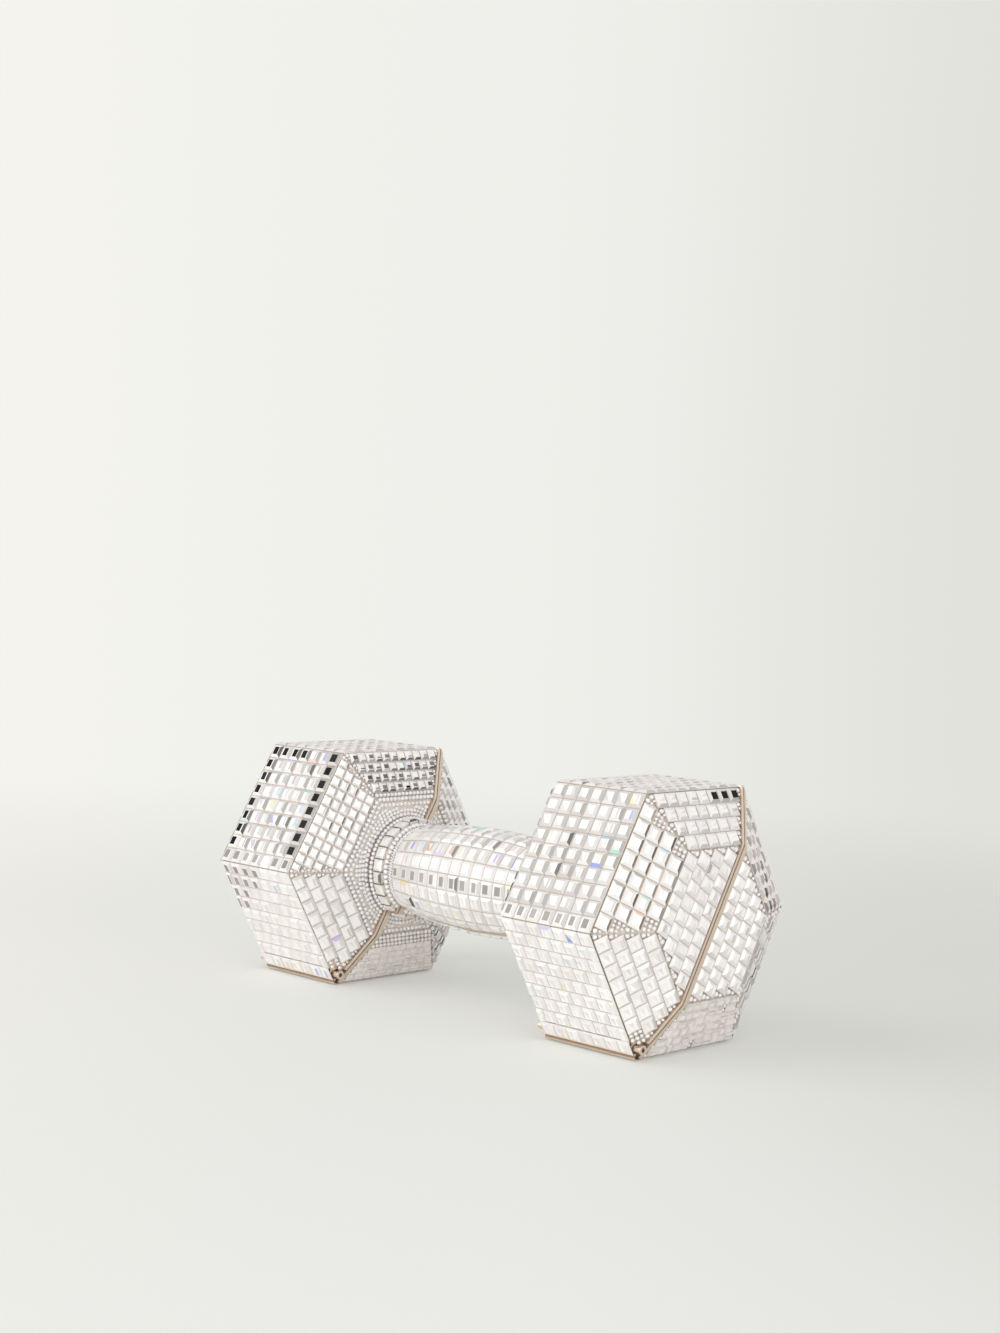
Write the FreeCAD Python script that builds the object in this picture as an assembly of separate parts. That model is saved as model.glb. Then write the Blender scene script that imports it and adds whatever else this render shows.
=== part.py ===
import FreeCAD, Part
import math
import os
from FreeCAD import Vector

# A hard-case evening bag in the form of a hexagonal dumbbell, set with cut stones.
# It is drawn on a bench with the parting plane level: x runs along the bag, y runs from
# the hinge to the clasp, and z points from the base half into the lid half.
# At the end every piece is tilted so that the bag lies on one flat of its heads.

# Heads, measured over the stones
head_sides = 6
head_across_corners = 82.0
head_side_length = 33.0
head_spacing = 70.8
bevel_depth = 8.0
pave_band = 5.14

# Grip, measured over the stones
grip_diameter = 31.6
collar_diameter = 30.6
neck_step = 2.5
collar_width = 4.4
grip_rows = 10
barrel_steps = 4

# Walls and linings
shell_wall = 1.2
grip_wall = 1.0
head_lining = 0.8
grip_lining = 1.0

# Stones
stone_height = 1.6
stone_pitch = 4.5
stone_bed = 0.4
stone_crown = 0.8
bevel_rows = 4
inner_rows = 4
end_rows = 4
seam = 0.35
least_step = 0.01
grip_stone_height = 1.4
rib_height = 0.5
rib_slope = 0.5
pave_height = 1.1
pave_gap = 0.3

# Rims along the parting plane
rim_slit = 0.35
lid_rim_height = 0.8
base_rim_height = 1.5
rim_setback = 0.4
lip_width = 0.6
lip_height = 0.7
lip_clearance = 0.2

# Hinge
hinge_inset = 3.0
hinge_lift = 1.8
hinge_overhang = 2.0
knuckle_diameter = 1.8
knuckle_count = 3
knuckle_gap = 0.2
pin_diameter = 0.8
pin_clearance = 0.03
pin_recess = 0.6
leaf_thickness = 0.7
leaf_width = 8.0
tab_rise = 1.0
leaf_clearance = 0.5
hinge_relief = 0.3
relief_reach = 0.8
cover_thickness = 0.6
cover_level = 0.45
cover_root = 0.6
trough_clearance = 0.2

# Clasp
clasp_drop = 4.6
button_diameter = 4.6
button_length = 3.0
button_stand = 1.3
button_chamfer = 0.6
button_clearance = 0.06
stone_hole_clearance = 0.25
button_travel = 1.2
stem_diameter = 2.0
stop_plate_side = 4.8
stop_plate_thickness = 0.8
stop_plate_inset = 2.9
latch_length = 10.8
latch_depth = 1.6
latch_thickness = 0.9
latch_inset = 5.4
latch_clearance = 0.2
strike_width = 10.4
strike_leg_width = 1.8
strike_thickness = 0.8
strike_inset = 3.1
barb_reach = 1.4
barb_thickness = 0.8
flange_clearance = 0.5
bracket_width = 10.0
bracket_thickness = 1.0
bracket_inset = 11.4
bracket_head = 2.2
stem_clearance = 0.05
clasp_room = 13.0
spring_wire = 0.4
spring_diameter = 3.2
spring_turns = 3
spring_steps = 8
wire_sides = 4
spring_end_gap = 0.25

# One overrun serves every cut
overrun = 0.5

# Worked out from the sizes above
half_sides = head_sides // 2
half_sector = math.pi / head_sides
head_radius = head_across_corners / 2
head_apothem = head_radius * math.cos(half_sector)
small_face_apothem = collar_diameter / 2 + pave_band
neck_diameter = collar_diameter - 2 * neck_step
inner_face = head_spacing / 2
side_start = inner_face + bevel_depth
side_end = side_start + head_side_length
outer_face = side_end + bevel_depth
metal_inset = stone_height
lining_inset = stone_height + shell_wall
cavity_inset = lining_inset + head_lining
grip_lining_inset = grip_stone_height + grip_wall
grip_cavity_inset = grip_lining_inset + grip_lining
grip_bore = grip_diameter / 2 - grip_lining_inset
stop_plate_place = grip_bore - stop_plate_inset
latch_place = grip_bore - latch_inset
strike_place = grip_bore - strike_inset
bracket_place = grip_bore - bracket_inset
flange_x = inner_face + stone_height
neck_x = inner_face - collar_width
grip_sector = math.pi / grip_rows
lid_level = rim_slit / 2 + lid_rim_height
base_level = rim_slit / 2 + base_rim_height
hinge_y = hinge_inset - head_radius
knuckle_radius = knuckle_diameter / 2
wall_inner = head_apothem - lining_inset
hinge_top = hinge_lift + knuckle_radius + hinge_relief
barrel_start = side_start - hinge_overhang
barrel_end = side_end + hinge_overhang
tilt_degrees = math.degrees(2 * half_sector)
X_AXIS = Vector(1, 0, 0)
Y_AXIS = Vector(0, 1, 0)
Z_AXIS = Vector(0, 0, 1)
ORIGIN = Vector(0, 0, 0)


# Building blocks

def planar_face(points):
    return Part.Face(Part.makePolygon(points + points[:1]))


def closed_solid(faces):
    shell = Part.makeShell(faces)
    shell.sewShape()
    solid = Part.makeSolid(shell)
    if solid.Volume < 0:
        solid.reverse()
    return solid


def box(x_range, y_range, z_range):
    size = [high - low for low, high in (x_range, y_range, z_range)]
    return Part.makeBox(*size, Vector(x_range[0], y_range[0], z_range[0]))


def rod(radius, start, end, centre, axis):
    """A round rod on an axis along x or y, through the given centre point."""
    return Part.makeCylinder(radius, end - start, centre + axis * start, axis)


def prism_x(outline_yz, start, end):
    face = planar_face([Vector(start, y, z) for y, z in outline_yz])
    return face.extrude(X_AXIS * (end - start))


def flip_x(shape):
    return shape.mirror(ORIGIN, X_AXIS)


def flip_z(shape):
    return shape.mirror(ORIGIN, Z_AXIS)


def half_ring(x, apothem, sectors, level):
    """Half of a regular polygon above a level, from the clasp side round to the hinge side."""
    step = math.pi / sectors
    radius = apothem / math.cos(step / 2)
    edge = radius - level * math.tan(step / 2)
    ring = [Vector(x, edge, level)]
    ring += [Vector(x, radius * math.cos(k * step), radius * math.sin(k * step)) for k in range(1, sectors)]
    ring.append(Vector(x, -edge, level))
    return ring


def ribbed_ring(x, apothem, sectors, level):
    """A half polygon as above, with a raised rib on each side and a groove at each corner."""
    step = math.pi / sectors
    slope = math.tan(step / 2)
    groove = (apothem - rib_height) / math.cos(step / 2)
    edge = groove - level * slope
    half = apothem * slope - rib_slope
    trim = level / math.cos(step / 2)
    ring = [Vector(x, edge, level)]
    for k in range(sectors):
        middle = (2 * k + 1) * step / 2
        outward = Vector(0, math.cos(middle), math.sin(middle))
        across = Vector(0, -math.sin(middle), math.cos(middle))
        low = trim - half if k == 0 else -half
        high = half - trim if k == sectors - 1 else half
        ring += [X_AXIS * x + outward * apothem + across * u for u in (low, high)]
        corner = (k + 1) * step
        if k < sectors - 1:
            ring.append(Vector(x, groove * math.cos(corner), groove * math.sin(corner)))
    ring.append(Vector(x, -edge, level))
    return ring


def solid_through(rings):
    """A closed half body with flat sides, through rings that start and end on one level."""
    faces = [planar_face(rings[0]), planar_face(rings[-1])]
    for near, far in zip(rings, rings[1:]):
        for k in range(len(near) - 1):
            faces.append(planar_face([near[k], near[k + 1], far[k + 1], far[k]]))
    clasp_side = [ring[0] for ring in rings]
    hinge_side = [ring[-1] for ring in reversed(rings)]
    faces.append(planar_face(clasp_side + hinge_side))
    return closed_solid(faces)


def half_solid(stations, sectors, level):
    """A half body from a row of (x, apothem) stations."""
    return solid_through([half_ring(x, apothem, sectors, level) for x, apothem in stations])


# Outlines

def head_profile(inset):
    """(x, apothem) corners of the right head, with every flat moved inwards by the inset."""
    fall = head_apothem - small_face_apothem
    slant = math.hypot(bevel_depth, fall)
    side_pull = inset * (slant - bevel_depth) / fall
    face_pull = inset * (slant - fall) / bevel_depth
    return [
        (inner_face + inset, small_face_apothem - face_pull),
        (side_start + side_pull, head_apothem - inset),
        (side_end - side_pull, head_apothem - inset),
        (outer_face - inset, small_face_apothem - face_pull),
    ]


def barrel_stations(inset):
    """(x, apothem) stations of the swelling grip between its two necks."""
    middle = grip_diameter / 2
    swell = middle - neck_diameter / 2
    stations = []
    for k in range(barrel_steps + 1):
        along = 2 * k / barrel_steps - 1
        stations.append((along * neck_x, middle - swell * along ** 2 - inset))
    return stations


def plan_outline(head_inset, height):
    """The outline of the room inside the bag on the parting plane, as a face at the given height."""
    grip = [(x, apothem / math.cos(grip_sector / 2)) for x, apothem in barrel_stations(grip_cavity_inset)]
    head = [(x, apothem / math.cos(half_sector)) for x, apothem in head_profile(head_inset)]
    right = [(x, y) for x, y in grip if x >= 0]
    right += [(head[0][0], grip[-1][1])] + head
    loop = right + [(x, -y) for x, y in reversed(right)]
    loop += [(-x, -y) for x, y in right[1:]]
    loop += [(-x, y) for x, y in reversed(right[1:])]
    return planar_face([Vector(x, y, height) for x, y in loop])


# Shells and linings

def throat(level):
    """The way from a head into the grip."""
    apothem = neck_diameter / 2 - grip_lining_inset
    stations = [(inner_face, apothem), (inner_face + cavity_inset + overrun, apothem)]
    return half_solid(stations, grip_rows, level - overrun)


def head_layer(outer_inset, inner_inset, level):
    outer = half_solid(head_profile(outer_inset), half_sides, level)
    inner = half_solid(head_profile(inner_inset), half_sides, level - overrun)
    return outer.cut(inner).cut(throat(level))


def head_shell(level):
    return head_layer(metal_inset, lining_inset, level)


def leaf_room():
    """The space that the hinge leaves take from the linings."""
    reach = max(leaf_end(1), leaf_end(-1)) + leaf_clearance
    start, end = leaf_range()
    x_range = (start - leaf_clearance, end + leaf_clearance)
    return box(x_range, (-head_radius, reach), (-head_radius, head_radius))


def head_lining_layer(level):
    return head_layer(lining_inset, cavity_inset, level).cut(leaf_room())


def grip_core(inset, end, level):
    """The inside of the grip at an inset, with straight ends that run on to the given x."""
    barrel = barrel_stations(inset)
    neck = barrel[0][1]
    return half_solid([(-end, neck)] + barrel + [(end, neck)], grip_rows, level)


def grip_shell(level):
    collar = collar_diameter / 2 - stone_height
    left = [(-flange_x, collar), (-neck_x, collar)]
    right = [(neck_x, collar), (flange_x, collar)]
    body = half_solid(left + barrel_stations(grip_stone_height) + right, grip_rows, level)
    return body.cut(grip_core(grip_lining_inset, flange_x + overrun, level - overrun))


def clasp_room_box():
    half = clasp_room / 2
    return box((-half, half), (-grip_diameter, grip_diameter), (-grip_diameter, grip_diameter))


def grip_lining_layer(level):
    end = inner_face + cavity_inset
    layer = grip_core(grip_lining_inset, end, level)
    layer = layer.cut(grip_core(grip_cavity_inset, end + overrun, level - overrun))
    return layer.cut(clasp_room_box())


# Stones

def stone_panel(place, edges, length, counts, height):
    """Rows of table-cut stones on one flat bed. The edges are the left and right ends at the
    first and last row line, and counts holds the number of stones in each row."""
    (left_start, right_start), (left_end, right_end) = edges
    rows = len(counts)

    def ends(line):
        share = line / rows
        left = left_start + (left_end - left_start) * share
        return left, right_start + (right_end - right_start) * share

    cells = []
    for row, count in enumerate(counts):
        low, high = ends(row), ends(row + 1)
        left = max(low[0], high[0])
        width = (min(low[1], high[1]) - left) / count
        cells.append([left + width * k for k in range(count + 1)])

    lines = []
    for line in range(rows + 1):
        marks = list(ends(line))
        marks += cells[line - 1] if line > 0 else []
        marks += cells[line] if line < rows else []
        marks.sort()
        lines.append([m for k, m in enumerate(marks) if k == 0 or m - marks[k - 1] > least_step])

    def stretch(line, start, end):
        return [m for m in lines[line] if start - least_step < m < end + least_step]

    def at(u, line, w):
        return place(u, length * line / rows, w)

    foot = [at(u, 0, 0) for u in ends(0)] + [at(u, rows, 0) for u in reversed(ends(rows))]
    faces = [planar_face(foot)]
    for line in (0, rows):
        bottom = [at(u, line, 0) for u in ends(line)]
        faces.append(planar_face(bottom + [at(u, line, stone_bed) for u in reversed(lines[line])]))
    for side in (0, 1):
        bottom = [at(ends(line)[side], line, 0) for line in (0, rows)]
        top = [at(ends(line)[side], line, stone_bed) for line in range(rows, -1, -1)]
        faces.append(planar_face(bottom + top))

    for row in range(rows):
        faces += row_fillers(at, ends, stretch, cells[row], row)
        for start, end in zip(cells[row], cells[row][1:]):
            faces += stone_faces(place, stretch, start, end, row, length / rows, height)
    return closed_solid(faces)


def row_fillers(at, ends, stretch, marks, row):
    """The bare bed between a slanted panel edge and the first or last stone of a row."""
    faces = []
    for side, inner in ((0, marks[0]), (1, marks[-1])):
        low, high = ends(row)[side], ends(row + 1)[side]
        if max(abs(low - inner), abs(high - inner)) < least_step:
            continue
        first = stretch(row, min(low, inner), max(low, inner))
        second = stretch(row + 1, min(high, inner), max(high, inner))
        loop = [at(u, row, stone_bed) for u in first]
        loop += [at(u, row + 1, stone_bed) for u in reversed(second)]
        faces.append(planar_face(loop))
    return faces


def stone_faces(place, stretch, start, end, row, pitch, height):
    """The table and the four crown facets of one stone."""
    low, high = row * pitch, (row + 1) * pitch
    crown = stone_crown
    table = [
        place(start + crown, low + crown, height),
        place(end - crown, low + crown, height),
        place(end - crown, high - crown, height),
        place(start + crown, high - crown, height),
    ]
    near = [place(u, low, stone_bed) for u in stretch(row, start, end)]
    far = [place(u, high, stone_bed) for u in stretch(row + 1, start, end)]
    return [
        planar_face(table),
        planar_face(near + [table[1], table[0]]),
        planar_face(far + [table[2], table[3]]),
        planar_face([near[0], table[0], table[3], far[0]]),
        planar_face([near[-1], table[1], table[2], far[-1]]),
    ]


def facet_panel(band, sector, rim_level, rows, one_bar, height):
    """A stone panel on one flat of a head. Bands run from the inner bevel to the outer one."""
    (x0, q0), (x1, q1) = head_profile(metal_inset)[band:band + 2]
    middle = (2 * sector + 1) * half_sector
    slant = math.hypot(x1 - x0, q1 - q0)
    outward = Vector(0, math.cos(middle), math.sin(middle))
    across = Vector(0, -math.sin(middle), math.cos(middle))
    along = (X_AXIS * (x1 - x0) + outward * (q1 - q0)) * (1 / slant)
    normal = (outward * (x1 - x0) - X_AXIS * (q1 - q0)) * (1 / slant)
    foot = X_AXIS * x0 + outward * q0 + along * seam

    def place(u, v, w):
        return foot + across * u + along * v + normal * w

    def ends_at(share):
        half = (q0 + (q1 - q0) * share) * math.tan(half_sector) - seam
        cut = rim_level / math.cos(half_sector)
        left = -half + (cut if sector == 0 else 0)
        return left, half - (cut if sector == half_sides - 1 else 0)

    edges = ends_at(seam / slant), ends_at(1 - seam / slant)
    counts = []
    for row in range(rows):
        narrow = min(right - left for left, right in (ends_at(row / rows), ends_at((row + 1) / rows)))
        counts.append(1 if one_bar else max(1, round(narrow / stone_pitch)))
    return stone_panel(place, edges, slant - 2 * seam, counts, height)


def facet_slab(sector, rim_level):
    """A side flat as one level slab, for the two flats that the bag stands on."""
    (x0, q0), (x1, q1) = head_profile(metal_inset)[1:3]
    middle = (2 * sector + 1) * half_sector
    outward = Vector(0, math.cos(middle), math.sin(middle))
    across = Vector(0, -math.sin(middle), math.cos(middle))
    half = q0 * math.tan(half_sector) - seam
    cut = rim_level / math.cos(half_sector)
    corners = []
    for x, u in ((x0, -half), (x1, -half), (x1, half - cut), (x0, half - cut)):
        shift = seam if x == x0 else -seam
        corners.append(X_AXIS * (x + shift) + outward * q0 + across * u)
    return planar_face(corners).extrude(outward * stone_height)


def side_rows():
    return round((side_end - side_start) / stone_pitch)


def hinge_relief_box():
    """Room for the hinge barrel, taken from every lid piece at the hinge edge."""
    x_range = (barrel_start - relief_reach, barrel_end + relief_reach)
    y_range = (-head_radius - overrun, hinge_y + leaf_clearance + 2 * knuckle_radius)
    return box(x_range, y_range, (-overrun, hinge_top))


def side_stones(level, hinge_level, sectors, one_bar):
    levels = [level] * (half_sides - 1) + [hinge_level]
    return [facet_panel(1, k, levels[k], side_rows(), one_bar, stone_height) for k in sectors]


def bevel_stones(band, level, rows, one_bar):
    return [facet_panel(band, k, level, rows, one_bar, stone_height) for k in range(half_sides)]


def end_stones(level):
    x, apothem = head_profile(metal_inset)[-1]
    radius = apothem / math.cos(half_sector)

    def place(u, v, w):
        return Vector(x + w, u, level + seam + v)

    def ends_at(height):
        half = radius - height * math.tan(half_sector) - seam
        return -half, half

    low, high = level + seam, apothem - seam
    return stone_panel(place, (ends_at(low), ends_at(high)), high - low, [1] * end_rows, stone_height)


def pave_plate(level):
    """The flat ring of small stones round the collar."""
    apothem = head_profile(metal_inset)[0][1] - seam
    plate = half_solid([(flange_x - pave_height, apothem), (flange_x, apothem)], half_sides, level)
    hole = collar_diameter / 2 + pave_gap
    stations = [(flange_x - pave_height - overrun, hole), (flange_x + overrun, hole)]
    return plate.cut(half_solid(stations, grip_rows, level - overrun))


def collar_stones(level):
    metal = collar_diameter / 2 - stone_height
    start, end = neck_x + seam, flange_x - pave_height - seam
    ring = half_solid([(start, metal + stone_height), (end, metal + stone_height)], grip_rows, level)
    bed = [(start - overrun, metal), (end + overrun, metal)]
    return ring.cut(half_solid(bed, grip_rows, level - overrun))


def grip_stones(level):
    """The stones of the grip as one sleeve, with a rib for each lengthwise row."""
    sleeve = solid_through([ribbed_ring(x, apothem, grip_rows, level) for x, apothem in barrel_stations(0)])
    return sleeve.cut(half_solid(barrel_stations(grip_stone_height), grip_rows, level - overrun))


# Rims

def rim_slice(height):
    """A level slice of the whole bag beside the slit, flush with the stones but for the setback."""
    low = rim_slit / 2
    head = half_solid(head_profile(rim_setback), half_sides, low)
    collar = collar_diameter / 2 - rim_setback
    end = inner_face + rim_setback + overrun
    barrel = barrel_stations(rim_setback)
    stations = [(-end, collar), (-neck_x, collar)] + barrel + [(neck_x, collar), (end, collar)]
    body = head.fuse([flip_x(head), half_solid(stations, grip_rows, low)])
    reach = (-head_radius, head_radius)
    return body.common(box((-outer_face, outer_face), reach, (low, low + height))).removeSplitter()


def lid_rim():
    inner = plan_outline(cavity_inset - lip_width - lip_clearance, 0)
    bar = rim_slice(lid_rim_height).cut(inner.extrude(Z_AXIS * (lid_level + overrun)))
    return bar.cut([hinge_relief_box(), flip_x(hinge_relief_box())])


def base_rim():
    inner = plan_outline(cavity_inset, 0)
    bar = flip_z(rim_slice(base_rim_height)).cut(inner.extrude(Z_AXIS * -(base_level + overrun)))
    bar = bar.fuse(base_lips())
    start, end = leaf_range()
    tab_outside = hinge_y + (hinge_lift + rim_slit / 2) * math.tan(half_sector)
    leaf_outside = -wall_inner / math.cos(half_sector)
    notch = box(
        (start - leaf_clearance, end + leaf_clearance),
        (min(tab_outside, leaf_outside) - leaf_clearance / 2, leaf_end(-1) + leaf_clearance),
        (-base_level - overrun, lip_height + overrun),
    )
    trough = cover_trough()
    return bar.cut([notch, flip_x(notch), trough, flip_x(trough)]).removeSplitter()


def base_lips():
    """The lip that stands up inside the lid's rim, round each head."""
    foot = -base_level
    band = plan_outline(cavity_inset - lip_width, foot).cut(plan_outline(cavity_inset, foot))
    top = lip_height - rim_slit / 2
    lip = band.extrude(Z_AXIS * (top - foot))
    near = inner_face + cavity_inset
    keep = box((near, outer_face), (-head_radius, head_radius), (foot, top))
    return [lip.common(keep), lip.common(flip_x(keep))]


# Hinge

def wall_point(side, depth, rise):
    """A (y, z) point by its depth from the bag's axis and its rise along the wall at the hinge.
    The side is 1 for the lid and -1 for the base."""
    cosine, sine = math.cos(half_sector), math.sin(half_sector)
    return rise * sine - depth * cosine, side * (depth * sine + rise * cosine)


def axis_depth(side):
    return side * hinge_lift * math.sin(half_sector) - hinge_y * math.cos(half_sector)


def axis_rise(side):
    return hinge_y * math.sin(half_sector) + side * hinge_lift * math.cos(half_sector)


def leaf_start(side):
    """Where a leaf starts along the wall: at its tabs in the lid, level with the rim in the base."""
    if side > 0:
        return axis_rise(side) + tab_rise / 2
    inner = wall_inner - leaf_thickness
    return (rim_slit / 2 - inner * math.sin(half_sector)) / math.cos(half_sector)


def leaf_end(side):
    """How far in from the hinge edge a leaf reaches, along y."""
    return wall_point(side, wall_inner - leaf_thickness, leaf_start(side) + leaf_width)[0]


def leaf_range():
    """Where a leaf starts and ends along x, between the bevel walls."""
    profile = head_profile(lining_inset + leaf_thickness)
    return profile[1][0], profile[2][0]


def wall_block(side, depths, rises, start, end):
    corners = [(depths[0], rises[0]), (depths[1], rises[0]), (depths[1], rises[1]), (depths[0], rises[1])]
    return prism_x([wall_point(side, depth, rise) for depth, rise in corners], start, end)


def hinge_leaf(side):
    """A leaf on the inside of the wall with its share of the knuckles."""
    sheet = (wall_inner - leaf_thickness, wall_inner)
    start = leaf_start(side)
    leaf = wall_block(side, sheet, (start, start + leaf_width), *leaf_range())
    tab_depths = (sheet[0], max(sheet[1], axis_depth(side)))
    tab_top = axis_rise(side) + tab_rise if side > 0 else start + leaf_clearance
    pitch = (barrel_end - barrel_start) / knuckle_count
    axis_point = Vector(0, hinge_y, hinge_lift)
    first = 0 if side < 0 else 1
    for k in range(first, knuckle_count, 2):
        low = barrel_start + k * pitch + knuckle_gap / 2
        high = low + pitch - knuckle_gap
        leaf = leaf.fuse(rod(knuckle_radius, low, high, axis_point, X_AXIS))
        ends = max(low, leaf_range()[0]), min(high, leaf_range()[1])
        leaf = leaf.fuse(wall_block(side, tab_depths, (axis_rise(side), tab_top), *ends))
    bore = pin_diameter / 2 + pin_clearance
    hole = rod(bore, barrel_start - overrun, barrel_end + overrun, axis_point, X_AXIS)
    return leaf.cut(hole).removeSplitter()


def cover_rises():
    """Where the strip of stones over the hinge starts and ends along the lid's wall."""
    low = (cover_level - head_apothem * math.sin(half_sector)) / math.cos(half_sector)
    return low, axis_rise(1) + knuckle_radius + hinge_relief + cover_root


def hinge_cover():
    """A strip flush with the stones that hides the hinge barrel, thin where it passes the barrel."""
    low, high = cover_rises()
    ends = side_start + seam, side_end - seam
    strip = wall_block(1, (head_apothem - cover_thickness, head_apothem), (low, high), *ends)
    root = wall_block(1, (head_apothem - metal_inset, head_apothem), (high - cover_root, high), *ends)
    return strip.fuse(root).removeSplitter()


def cover_stone_level():
    """The level at which the stones of the lid's hinge flat stop above the cover."""
    half = (head_apothem - metal_inset) * math.tan(half_sector) - seam
    return (half + cover_rises()[1] + seam) * math.cos(half_sector)


def cover_trough():
    """Room in the base's rim for the cover, which swings in under the barrel as the lid opens."""
    reach = math.hypot(head_apothem - axis_depth(1), axis_rise(1) - cover_rises()[0])
    sweep = rod(reach + trough_clearance, side_start, side_end, Vector(0, hinge_y, hinge_lift), X_AXIS)
    y_range = (-head_radius, hinge_y + leaf_clearance)
    return sweep.common(box((side_start, side_end), y_range, (-base_level, hinge_lift)))


def hinge_pin():
    return rod(pin_diameter / 2, barrel_start + pin_recess, barrel_end - pin_recess,
               Vector(0, hinge_y, hinge_lift), X_AXIS)


# Clasp

def button_axis():
    return Vector(0, 0, -clasp_drop)


def button_tip():
    radius = grip_diameter / 2
    return math.sqrt(radius ** 2 - clasp_drop ** 2) + button_stand


def clasp_button():
    tip = button_tip()
    cap = rod(button_diameter / 2, tip - button_length, tip, button_axis(), Y_AXIS)
    rim_edge = [edge for edge in cap.Edges if edge.BoundBox.YMin > tip - button_chamfer]
    cap = cap.makeChamfer(button_chamfer, rim_edge)
    stem = rod(stem_diameter / 2, bracket_place, tip - button_length, button_axis(), Y_AXIS)
    half, middle = stop_plate_side / 2, -clasp_drop
    stop = box((-half, half), (stop_plate_place, stop_plate_place + stop_plate_thickness),
               (middle - half, middle + half))
    return cap.fuse(stem).fuse(stop).removeSplitter()


def latch_bar():
    half, middle = latch_length / 2, -clasp_drop
    block = box((-half, half), (latch_place, latch_place + latch_depth),
                (middle - latch_thickness / 2, middle + latch_thickness / 2))
    hub = box((-stem_diameter, stem_diameter), (latch_place, latch_place + latch_depth),
              (middle - stem_diameter, middle + stem_diameter))
    hole = rod(stem_diameter / 2 + stem_clearance, latch_place - overrun,
               latch_place + latch_depth + overrun, button_axis(), Y_AXIS)
    return block.fuse(hub).cut(hole).removeSplitter()


def clasp_strike():
    """A fork on the ledge of the lid's rim, with a barb on each leg below the latch bar."""
    half = strike_width / 2
    barb_top = -clasp_drop - latch_thickness / 2 - latch_clearance
    barb_low = barb_top - barb_thickness
    ledge = lid_level
    flange_range = (strike_place, grip_bore - flange_clearance)
    plate_range = (strike_place, strike_place + strike_thickness)
    flange = box((-half, half), flange_range, (ledge, ledge + strike_thickness))
    plate = box((-half, half), plate_range, (0, ledge + overrun))
    strike = flange.fuse(plate)
    for x in (-half, half - strike_leg_width):
        leg_range = (x, x + strike_leg_width)
        leg = box(leg_range, plate_range, (barb_low, ledge))
        barb = box(leg_range, (strike_place - barb_reach, plate_range[1]), (barb_low, barb_top))
        strike = strike.fuse(leg).fuse(barb)
    return strike.removeSplitter()


def clasp_bracket(level):
    """A plate across the base of the grip that guides the inner end of the stem."""
    half = bracket_width / 2
    plate = box((-half, half), (bracket_place, bracket_place + bracket_thickness),
                (-grip_diameter / 2, bracket_head - clasp_drop))
    plate = plate.common(flip_z(grip_core(grip_lining_inset, flange_x, level)))
    hole = rod(stem_diameter / 2 + stem_clearance, bracket_place - overrun,
               bracket_place + bracket_thickness + overrun, button_axis(), Y_AXIS)
    return plate.cut(hole)


def clasp_spring():
    """The return spring, drawn at its pressed length so that it is clear over the whole travel."""
    start = bracket_place + bracket_thickness + spring_wire / 2 + stem_clearance
    end = latch_place - button_travel - spring_end_gap - spring_wire / 2
    steps = spring_turns * spring_steps
    rings = []
    for k in range(steps + 1):
        rings.append(wire_ring(2 * math.pi * k / spring_steps, start + (end - start) * k / steps))
    faces = [planar_face(rings[0]), planar_face(rings[-1])]
    for near, far in zip(rings, rings[1:]):
        for k in range(wire_sides):
            after = (k + 1) % wire_sides
            faces.append(planar_face([near[k], near[after], far[k]]))
            faces.append(planar_face([far[k], near[after], far[after]]))
    return closed_solid(faces)


def wire_ring(turn, place):
    """One cross-section of the spring's wire, in the plane of the coil's axis."""
    outward = Vector(math.cos(turn), 0, math.sin(turn))
    centre = button_axis() + Y_AXIS * place + outward * (spring_diameter / 2)
    ring = []
    for k in range(wire_sides):
        angle = (2 * k + 1) * math.pi / wire_sides
        ring.append(centre + (outward * math.cos(angle) + Y_AXIS * math.sin(angle)) * (spring_wire / 2))
    return ring


def button_hole(clearance):
    return rod(button_diameter / 2 + clearance, 0, grip_diameter, button_axis(), Y_AXIS)


# The whole bag

def both_heads(name, shape):
    return {name.format("right"): shape, name.format("left"): flip_x(shape)}


def lid_pieces():
    relief = hinge_relief_box()
    pieces = both_heads("lid_{}_head_shell", head_shell(lid_level).cut(relief))
    pieces["lid_grip_shell"] = grip_shell(lid_level)
    pieces["lid_rim"] = lid_rim()
    pieces.update(both_heads("lid_{}_head_lining", head_lining_layer(lid_level)))
    pieces["lid_grip_lining"] = grip_lining_layer(lid_level)
    pieces.update(both_heads("lid_{}_hinge_leaf", hinge_leaf(1)))
    hinge_level = cover_stone_level()
    panels = side_stones(lid_level, hinge_level, (0,), True)
    panels += side_stones(lid_level, hinge_level, range(1, half_sides), False)
    panels.append(hinge_cover())
    pieces.update(both_heads("lid_{}_side_stones", Part.makeCompound(panels)))
    for name, band, rows, one_bar in (("inner", 0, inner_rows, True), ("outer", 2, bevel_rows, False)):
        panels = [panel.cut(relief) for panel in bevel_stones(band, lid_level, rows, one_bar)]
        pieces.update(both_heads("lid_{}_" + name + "_bevel_stones", Part.makeCompound(panels)))
    pieces.update(both_heads("lid_{}_end_stones", end_stones(lid_level)))
    pieces.update(both_heads("lid_{}_pave_ring", pave_plate(lid_level)))
    pieces.update(both_heads("lid_{}_collar_stones", collar_stones(lid_level)))
    pieces["lid_grip_stones"] = grip_stones(lid_level)
    pieces["clasp_strike"] = clasp_strike()
    return pieces


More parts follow.
